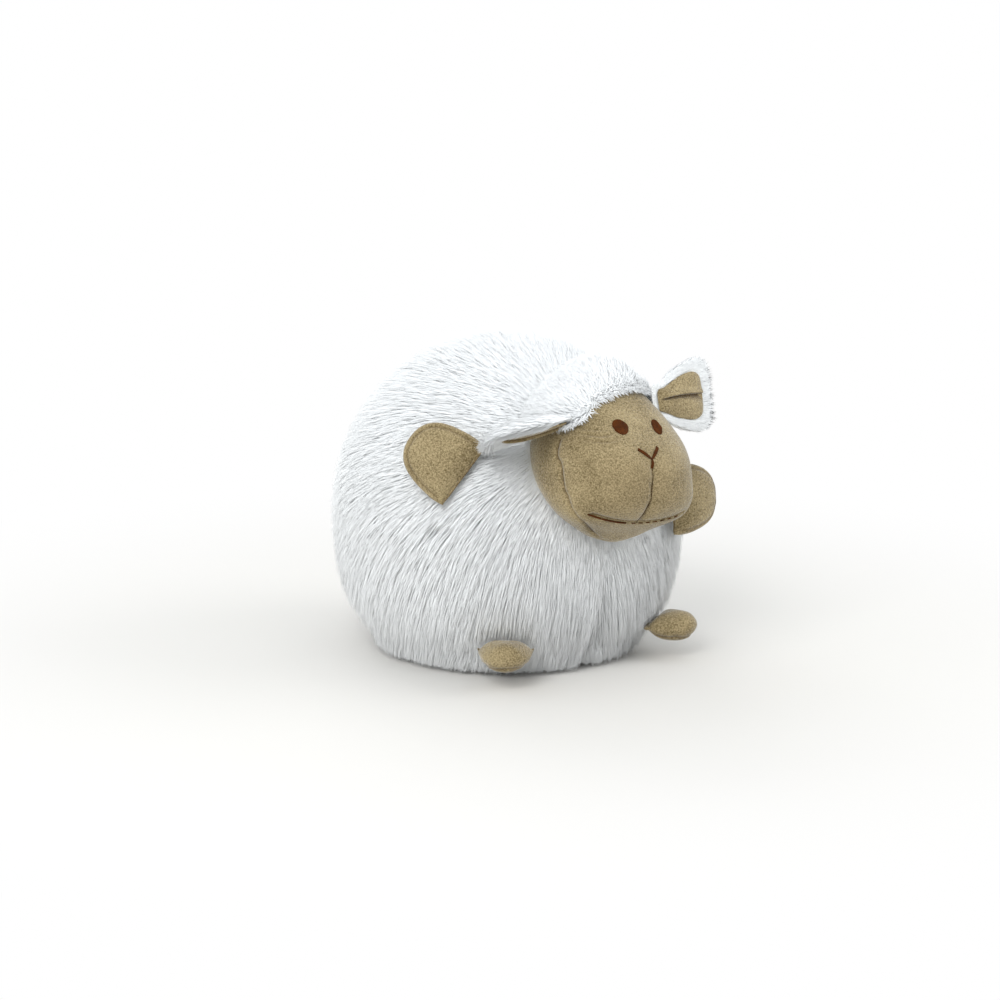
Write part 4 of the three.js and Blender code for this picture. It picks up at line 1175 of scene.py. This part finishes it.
def growPanel(side, pile, panel, area, clear):
    steps = pile["columns"]
    turn = 2 * math.pi * (panel + np.arange(steps + 1) / steps) / pile["panels"]
    points = np.concatenate([ringPoints(r, z, turn) for r, z in side])
    heights = points[:, 2]
    comb = points - np.array(pile["napStart"])
    start = np.linalg.norm(comb, axis=1)
    comb /= start[:, None]
    low = smoothStep(*pile["lowLevels"], heights)
    comb[:, 2] -= pile["hang"][0] + pile["hang"][1] * low
    # the pile parts along the seams in front and behind
    sideways = np.tile(np.stack([np.cos(turn), np.sin(turn), 0 * turn], 1), (len(side), 1))
    fade = smoothStep(*pile["partingLevels"], heights)
    parting = np.zeros(len(points))
    for end in (1, -1):
        angle = np.arctan2(end * np.sin(turn), end * np.cos(turn))
        away = np.tile(angle, len(side)) * np.repeat(side[:, 0], steps + 1)
        near = np.exp(-np.abs(away) / pile["partingWidth"]) * fade
        comb += sideways * (away / (np.abs(away) + 3) * near * pile["partingPush"])[:, None]
        parting = np.maximum(parting, hump(away, pile["partingTrough"]) * fade)
    length, lift = (first + (last - first) * low for first, last in (pile["length"], pile["lift"]))
    length = length * (1 - pile["partingShorter"] * parting)
    lift = lift * (1 - pile["partingFlatter"] * parting) * smoothStep(*pile["floorLevels"], heights)
    lift *= pile["leastRise"] + (1 - pile["leastRise"]) * smoothStep(*pile["napRise"], start)
    faces = loftFaces([steps + 1] * len(side), closed=False)
    guide = meshPiece(f"bodyGuide{panel + 1}", points * mm, faces, whitePile)
    clump = pile["leastClump"] + (1 - pile["leastClump"]) * low
    combed(guide, comb, length, lift, pile["droop"] * low, clump)
    seed = pile["seed"] + panel
    return grow(f"bodyPile_{panel + 1}", guide, clear, pile["strands"], area, seed, pile["fibre"])


def growBody(shape, pile, clear):
    side = ballBacking(shape)
    side = side[side[:, 1] > pile["lowest"]]
    rows = np.linspace(0, len(side) - 1, pile["rows"])
    fine = np.column_stack([np.interp(rows, range(len(side)), side[:, k]) for k in (0, 1)])
    fine[-1, 0] = pile["topRadius"]
    length = np.linalg.norm(np.diff(fine, axis=0), axis=1)
    area = float(np.sum(length * (fine[:-1, 0] + fine[1:, 0]) * math.pi)) / pile["panels"] * mm * mm
    return [growPanel(fine, pile, panel, area, clear) for panel in range(pile["panels"])]


keepClear = joinedCopy("keepClear", [headVelour, *limbPieces.values()])
bodyPiles = growBody(ball, bodyPile, keepClear)
print("body pile grown")


capPile = {
    # level of the pile's edge across the forehead, from its right ear to its left ear
    "edge": [
        *[(-46, 14), (-38, 17), (-33, 21), (-28, 25), (-21, 32), (-15, 34.5), (-7, 37.5), (1, 39.3)],
        *[(10, 39.3), (19, 37), (24, 33), (28, 31), (46, 30)],
    ],
    # by how much the edge drops behind the ears, per millimetre, from a depth on
    "rightDrop": (6, 0.4),
    "leftDrop": (0, 1.6),
    "rows": 44,
    "columns": 180,
    "sheets": (0.5, -0.4),  # outer and inner face of the backing, off the velour
    "topMargin": 0.05,
    "strands": 20000,
    "seed": 31,
    "fibre": {
        "Strand Width": 0.56 * mm,
        "Clump Size": 6 * mm,
        "Clump Pull": 0.25,
        "Flow Wander": 0.7,
        "Strand Wander": 0.7,
        "Fibre Relief": 0.35,
        "Bake Columns": 144,
    },
    "length": 11,
    "lift": 6,
    "droop": 0.05,
    "clump": 0.7,
    "napStart": (0, -75, 10),  # in front of the face: the nap is brushed back over the crown
    "lowestEdge": -10,
    "fringe": 7,
    "fringeLength": 0.45,
    "fringeLift": 0.4,
    "fringeWay": (-0.15, -0.35, -0.35),
    "creaseReach": 10,
    "creaseLift": 0.6,
}


def capEdge(points, pile):
    # level of the pile's edge at places round the head
    edge = np.interp(points[..., 0], *np.array(pile["edge"]).T)
    left = points[..., 0] >= 0
    for side, (first, drop) in ((~left, pile["rightDrop"]), (left, pile["leftDrop"])):
        edge -= side * np.maximum(points[..., 1] - first, 0) * drop
    return np.maximum(edge, 0)


def growCap(shape, pile, clear):
    # the crown's backing and pile, over everything above a slanted edge on the forehead
    rows, columns = pile["rows"], pile["columns"]
    top = (1 - shape["chinShare"]) * shape["height"] - pile["topMargin"]
    turn = 2 * math.pi * np.arange(columns) / columns
    levels = np.linspace(pile["lowestEdge"], top, 400)
    column = np.stack([headSurface(np.full(columns, h), turn, pile["sheets"][0]) for h in levels])
    start = levels[np.argmax(column[..., 2] > capEdge(column, pile), axis=0)]
    share = 1 - (1 - np.linspace(0, 1, rows)) ** 2  # closer rows towards the crown, where the head is flat
    sheets = []
    for lift in pile["sheets"]:
        peak = headSurface(np.array([top + pile["topMargin"]]), np.zeros(1), lift)
        sheets.append([*[headSurface(start + (top - start) * s, turn, lift) for s in share], peak])
    outer, inner = sheets
    backing = toRow(loftPiece("capBacking", [*inner[::-1], *outer], pileBacking), headPlace)
    points = np.concatenate(outer)
    above = np.append(np.tile(top - start, rows) * np.repeat(share, columns), top)
    comb = points - np.array(pile["napStart"])
    near = smoothStep(0, pile["fringe"], above)
    comb *= (near / np.linalg.norm(comb, axis=1))[:, None]
    # at the edge short fibres fringe the velour
    comb += np.outer(1 - near, pile["fringeWay"])
    # the pile stands up in the crease where each ear is sewn on
    crease = np.zeros(len(points))
    for place in earPlaces.values():
        seat = np.array(headPlace.inverted() @ earFrame(earShape, place).translation)
        crease = np.maximum(crease, hump(np.linalg.norm(points - seat, axis=1), pile["creaseReach"]))
    turned = np.array(headPlace.to_3x3())
    points = points @ turned.T + np.array(headPlace.translation)
    faces = loftFaces([columns] * rows + [1])
    guide = meshPiece("capGuide", points * mm, faces, whitePile)
    length = pile["length"] * (pile["fringeLength"] + (1 - pile["fringeLength"]) * near)
    lift = pile["lift"] * (pile["fringeLift"] + (1 - pile["fringeLift"]) * near)
    lift *= 1 + pile["creaseLift"] * crease
    combed(guide, comb @ turned.T, length, lift, pile["droop"], pile["clump"])
    area = guideArea(guide)
    return backing, grow("capPile", guide, clear, pile["strands"], area, pile["seed"], pile["fibre"])


keepClearBody = joinedCopy("keepClearBody", [bodyBacking])
capBacking, capStrands = growCap(headShape, capPile, keepClearBody)

earPile = {
    "ear_left": {"strands": 11000, "width": 0.42, "length": 5, "lift": 1.7, "seed": 41},
    "ear_right": {"strands": 11000, "width": 0.5, "length": 9, "lift": 3.6, "seed": 42},
}
earFibre = {
    "Clump Size": 5 * mm,
    "Clump Pull": 0.3,
    "Flow Wander": 0.5,
    "Strand Wander": 0.4,
    "Bake Columns": 112,
}


def growEar(name, pieces, pile):
    back, lining, frameHere = pieces
    guide = joinedCopy(name + "Guide", [back])
    local = np.array(frameHere.to_3x3())
    inFrame = (corners(guide) / mm - np.array(frameHere.translation)) @ local
    comb = np.tile(local[:, 0], (len(inFrame), 1)) + np.outer(inFrame[:, 1] / earShape["width"], local[:, 1])
    root = smoothStep(1, 12, inFrame[:, 0])
    combed(guide, comb, pile["length"] * (0.3 + 0.7 * root), pile["lift"] * root, 0, 0.5)
    clear = joinedCopy(name + "Clear", [lining])
    fibre = {**earFibre, "Strand Width": pile["width"] * mm}
    piece = grow(name + "Pile", guide, clear, pile["strands"], guideArea(guide), pile["seed"], fibre)
    bpy.data.objects.remove(clear)
    return piece


earPiles = {
    name: growEar(name.replace("_", ""), pieces, earPile[name]) for name, pieces in earPieces.items()
}
bpy.data.objects.remove(keepClear)
bpy.data.objects.remove(keepClearBody)
print("head and ear pile grown")


# Embroidery: threads that follow drawn lines

def threadTree():
    sockets = {
        "Lines": ("Geometry", None),
        "Thread Radius": ("Float", 0.0004),
        "Sides": ("Int", 6),
        "Thread": ("Material", None),
    }
    tree, given = newGroup("laidThread", sockets, "Stitches")
    node = partial(addNode, tree)
    curve = node("GeometryNodeMeshToCurve", {"Mesh": given["Lines"]})
    ring = {"Resolution": given["Sides"], "Radius": given["Thread Radius"]}
    ring = node("GeometryNodeCurvePrimitiveCircle", ring).outputs["Curve"]
    tube = node("GeometryNodeCurveToMesh", {"Curve": curve, "Profile Curve": ring, "Fill Caps": True})
    real = node("GeometryNodeRealizeInstances", {"Geometry": tube})
    smooth = node("GeometryNodeSetShadeSmooth", {"Geometry": real, "Shade Smooth": True})
    dressed = node("GeometryNodeSetMaterial", {"Geometry": smooth, "Material": given["Thread"]})
    node("NodeGroupOutput", {"Stitches": dressed})
    return tree


laidThread = threadTree()
headTree = BVHTree.FromObject(headVelour, bpy.context.evaluated_depsgraph_get())


def onHead(places, lift):
    # lines of places across and above the middle, laid on the finished velour
    backwards = (headPlace.to_3x3() @ Vector((0, 1, 0))).normalized()
    rows = []
    for line in places:
        points = []
        for across, height in line:
            start = headPlace @ Vector((across, -2 * headShape["halfDepth"], height)) * mm
            spot, normal, _, _ = headTree.ray_cast(start, backwards)
            points.append(spot + normal * lift * mm)
        rows.append(points)
    return rows


def domed(lines, rise):
    # satin threads stand highest in the middle of each stitch
    result = []
    for line in lines:
        lifts = rise * mm * (1 - np.linspace(-1, 1, len(line)) ** 2)
        result.append([point + headTree.find_nearest(point)[1] * lift for point, lift in zip(line, lifts)])
    return result


def sewn(name, lines, radius, thread):
    points, edges = [], []
    for line in lines:
        edges += [(len(points) + k, len(points) + k + 1) for k in range(len(line) - 1)]
        points += [tuple(p) for p in line]
    mesh = bpy.data.meshes.new(name + "Lines")
    mesh.from_pydata(points, edges, [])
    settings = {"Thread Radius": radius * mm, "Sides": 6, "Thread": thread}
    return built(name, linked(name + "Lines", mesh), laidThread, settings)


eyeSewing = {
    "spread": 13,
    "height": 20.6,
    "halfWide": {1: 3.4, -1: 4.7},  # the left one sits round the curve of the forehead
    "halfTall": 3.7,
    "tilt": {1: 8, -1: -12},
    "threads": 21,
    "radius": 0.3,
    "lift": 0.1,
    "rise": 0.5,
}


def eyeLines(eye, side):
    tilt = math.radians(eye["tilt"][side])
    lines = []
    for k in range(eye["threads"]):
        share = 2 * (k + 0.5) / eye["threads"] - 1
        u = share * eye["halfWide"][side]
        v = np.linspace(-1, 1, 7) * eye["halfTall"] * math.sqrt(1 - share * share)
        x = side * eye["spread"] + u * math.cos(tilt) + v * math.sin(tilt)
        lines.append(np.column_stack([x, eye["height"] - u * math.sin(tilt) + v * math.cos(tilt)]))
    return lines


eyes = {}
for side, name in ((1, "eye_left"), (-1, "eye_right")):
    lines = domed(onHead(eyeLines(eyeSewing, side), eyeSewing["lift"]), eyeSewing["rise"])
    eyes[name] = sewn(name.replace("_", "") + "Satin", lines, eyeSewing["radius"], brownThread)

noseSewing = {
    "height": 4.6,
    "ends": [(-8.1, 9.7), (6.3, 10.7), (-0.4, -0.4)],
    "strands": 4,
    "pitch": 0.4,
    "radius": 0.34,
    "lift": 0.15,
    "rise": 0.35,
}


def noseLines(nose):
    joint = np.array((0.0, nose["height"]))
    lines = []
    for end in nose["ends"]:
        way = np.array(end) - joint
        across = np.array((-way[1], way[0])) / np.linalg.norm(way)
        for k in range(nose["strands"]):
            shift = across * (k - (nose["strands"] - 1) / 2) * nose["pitch"]
            lines.append([joint + way * t + shift * min(1, 0.25 + 2 * t) for t in np.linspace(0, 1, 8)])
    return lines


noseStitches = domed(onHead(noseLines(noseSewing), noseSewing["lift"]), noseSewing["rise"])
noseThreads = sewn("noseSatin", noseStitches, noseSewing["radius"], brownThread)

# running stitches: long ones pulled tight on its right side, short ones with gaps on its left
mouthSewing = {
    "tight": {"from": -35, "to": -7, "stitch": 8.6, "gap": 0.6, "radius": 0.58},
    "loose": {"from": -4, "to": 30, "stitch": 2.6, "gap": 2.4, "radius": 0.34},
    "lift": 0.1,
}
muzzleSewing = {"stitch": 2.6, "gap": 0.3, "radius": 0.3}


def dashed(places, sewing):
    # a drawn line cut into running stitches; a last one under 0.4 of the length is left out
    line = smoothCurve(places, 240)
    total = lengthsAlong(line)[-1]
    stitches, start = [], 0.0
    while start < total - sewing["stitch"] * 0.4:
        end = min(start + sewing["stitch"], total)
        stitches.append(placesAt(line, np.linspace(start, end, 6)))
        start = end + sewing["gap"]
    return stitches


mouthParts = []
for kind in ("tight", "loose"):
    sewing = mouthSewing[kind]
    stitches = onHead(dashed(mouthPlaces(sewing["from"], sewing["to"], 13), sewing), mouthSewing["lift"])
    mouthParts.append(sewn("mouthThread" + kind.title(), stitches, sewing["radius"], brownThread))
seamLines = onHead(dashed(faceSeams["centreLine"], muzzleSewing), 0)
seamThreads = sewn("muzzleSeamThread", seamLines, muzzleSewing["radius"], seamThread)
print("face embroidered")


# Filling, pocket and binding: the CAD's plain soft solids with their real surface

softPhases = (0, 1.3, 0.7)


def softCopy(name, node, material, rough, size):
    # rough is how far the surface dips and size the measure of its bumps
    mesh = frame["nodes"][node].data.copy()
    mesh.name = name

    def change(work):
        bmesh.ops.remove_doubles(work, verts=work.verts, dist=1e-6)
        bmesh.ops.subdivide_edges(work, edges=work.edges, cuts=1, use_grid_fill=True)

    piece = reworked(linked(name, mesh), change)
    mesh.materials.clear()
    mesh.materials.append(material)
    points, normals = corners(piece), corners(piece, "normal")
    waves = [np.sin(points[:, k] / (size * mm) + phase) for k, phase in enumerate(softPhases)]
    wave = np.prod(waves, axis=0)
    setCorners(piece, points - normals * (rough * mm * (0.5 + 0.5 * wave))[:, None])
    mesh.shade_smooth()
    return piece


def keepInside(piece, tree, depth):
    # moves the corners that come closer than depth to a cover back under it
    points = corners(piece)
    for k, point in enumerate(points):
        near, normal, _, _ = tree.find_nearest(Vector(point))
        below = (near - Vector(point)).dot(normal)
        if below < depth * mm:
            points[k] = near - normal * depth * mm
    setCorners(piece, points)
    return piece


bodyFilling = softCopy("bodyFilling", "body_stuffing", fibreFilling, 2.0, 9)
headFilling = keepInside(softCopy("headFilling", "head_stuffing", fibreFilling, 1.5, 7), headTree, 3)
podPocket = softCopy("podPocket", "pod_pocket", cottonBinding, 0.2, 5)
openingBinding = softCopy("openingBinding", "opening_hem_band", cottonBinding, 0.15, 3)

settle(bodyFilling, rootBody, "filling", "body_stuffing", fill=0.9)
settle(headFilling, rootBody, "filling", "head_stuffing", fill=0.9)
settle(podPocket, rootBody, "cloth", "pod_pocket")
settle(openingBinding, rootBody, "cloth", "opening_hem_band")
settle(bodyBacking, rootBody, "fur", "body_fur_shell", fill=0.95)
for piece in bodyPiles:
    settle(piece, rootBody, "fur")
settle(headVelour, rootBody, "velour", "head_face", fill=0.85)
settle(capBacking, rootBody, "fur", "head_fur_cap")
settle(capStrands, rootBody, "fur")
for name, piece in eyes.items():
    settle(piece, rootBody, "thread", name)
settle(noseThreads, rootBody, "thread", "nose_stitch")
for piece in mouthParts:
    settle(piece, rootBody, "thread", "mouth_stitch")
settle(seamThreads, rootBody, "thread")
bodyOf = {name: "_".join(reversed(name.split("_"))) for name in (*limbPieces, *earPieces)}
for name, piece in limbPieces.items():
    settle(piece, bodyOf[name], "velour", name, fill=0.6)
for name, (back, lining, _) in earPieces.items():
    settle(back, bodyOf[name], "fur", name + "_fur", fill=0.3)
    settle(lining, bodyOf[name], "velour", name + "_lining", fill=0.3)
    settle(earPiles[name], bodyOf[name], "fur")

slotOf = {row["node"]: row["material_slot"] for row in frame["record"]["subparts"]}
for name, node in frame["nodes"].items():
    if slotOf[name] in slotFinishes:
        node.data.materials.clear()
        node.data.materials.append(slotFinishes[slotOf[name]])
print("pieces settled on their bodies")


# Studio

studio = {
    "floorSize": 6,
    "floorHex": "#dcdad6",
    "floorFade": (0.16, 0.5),
    "skyColour": (0.94, 0.975, 1, 1),
    "worldStrength": 0.8,
    "lampAim": (0, 0, 0.09),
    "lamps": {
        "key": {"place": (-1.45, -1.0, 1.4), "size": 1.1, "power": 26},
        "top": {"place": (0.1, -0.5, 2.1), "size": 1.6, "power": 3},
        "fill": {"place": (1.6, -1.2, 1.1), "size": 1.4, "power": 14},
        "back": {"place": (0.4, 2.0, 1.1), "size": 1.6, "power": 15},
    },
}


def seenDirectly(tree):
    # 1 for the camera's own rays and mirrored ones, which see plain white
    path = addNode(tree, "ShaderNodeLightPath").outputs
    return numberNode(tree, "MAXIMUM", path["Is Camera Ray"], path["Is Glossy Ray"])


def makeFloor(light):
    finish = {"Roughness": 0.9, "Base Color": linearColour(light["floorHex"])}
    material, tree, shader = newMaterial("paleFloor", finish)
    place = addNode(tree, "ShaderNodeTexCoord").outputs["Object"]
    away = vectorNode(tree, "LENGTH", place).outputs["Value"]
    low, high = light["floorFade"]
    inputs = {"Value": away, "From Min": low, "From Max": high}
    far = addNode(tree, "ShaderNodeMapRange", inputs, interpolation_type="SMOOTHSTEP")
    share = numberNode(tree, "MULTIPLY", far, seenDirectly(tree))
    white = addNode(tree, "ShaderNodeEmission", {"Color": (1, 1, 1, 1), "Strength": 1.0})
    mixed = addNode(tree, "ShaderNodeMixShader", {0: share, 1: shader.outputs[0], 2: white})
    wire(tree, mixed, tree.nodes["Material Output"].inputs["Surface"])
    half = light["floorSize"] / 2
    points = [(-half, -half, 0), (half, -half, 0), (half, half, 0), (-half, half, 0)]
    meshPiece("studioFloor", points, [(0, 1, 2, 3)], material, False)


def makeSky(light):
    world = bpy.data.worlds.new("studioWorld")
    scene.world = world
    world.use_nodes = True
    tree = world.node_tree
    lit = tree.nodes["Background"]
    lit.inputs["Color"].default_value = light["skyColour"]
    lit.inputs["Strength"].default_value = light["worldStrength"]
    white = addNode(tree, "ShaderNodeBackground", {"Color": (1, 1, 1, 1), "Strength": 1.0})
    mixed = addNode(tree, "ShaderNodeMixShader", {0: seenDirectly(tree), 1: lit.outputs[0], 2: white})
    wire(tree, mixed, tree.nodes["World Output"].inputs["Surface"])


def hangLamps(light):
    for name, given in light["lamps"].items():
        lamp = bpy.data.lights.new(name + "Lamp", "AREA")
        lamp.size = given["size"]
        lamp.energy = given["power"]
        place = Vector(given["place"])
        turn = (Vector(light["lampAim"]) - place).to_track_quat("-Z", "Y").to_matrix().to_4x4()
        linked(name + "Lamp", lamp).matrix_world = Matrix.Translation(place) @ turn


makeFloor(studio)
makeSky(studio)
hangLamps(studio)
scene.view_settings.view_transform = "Standard"
print("studio lit")
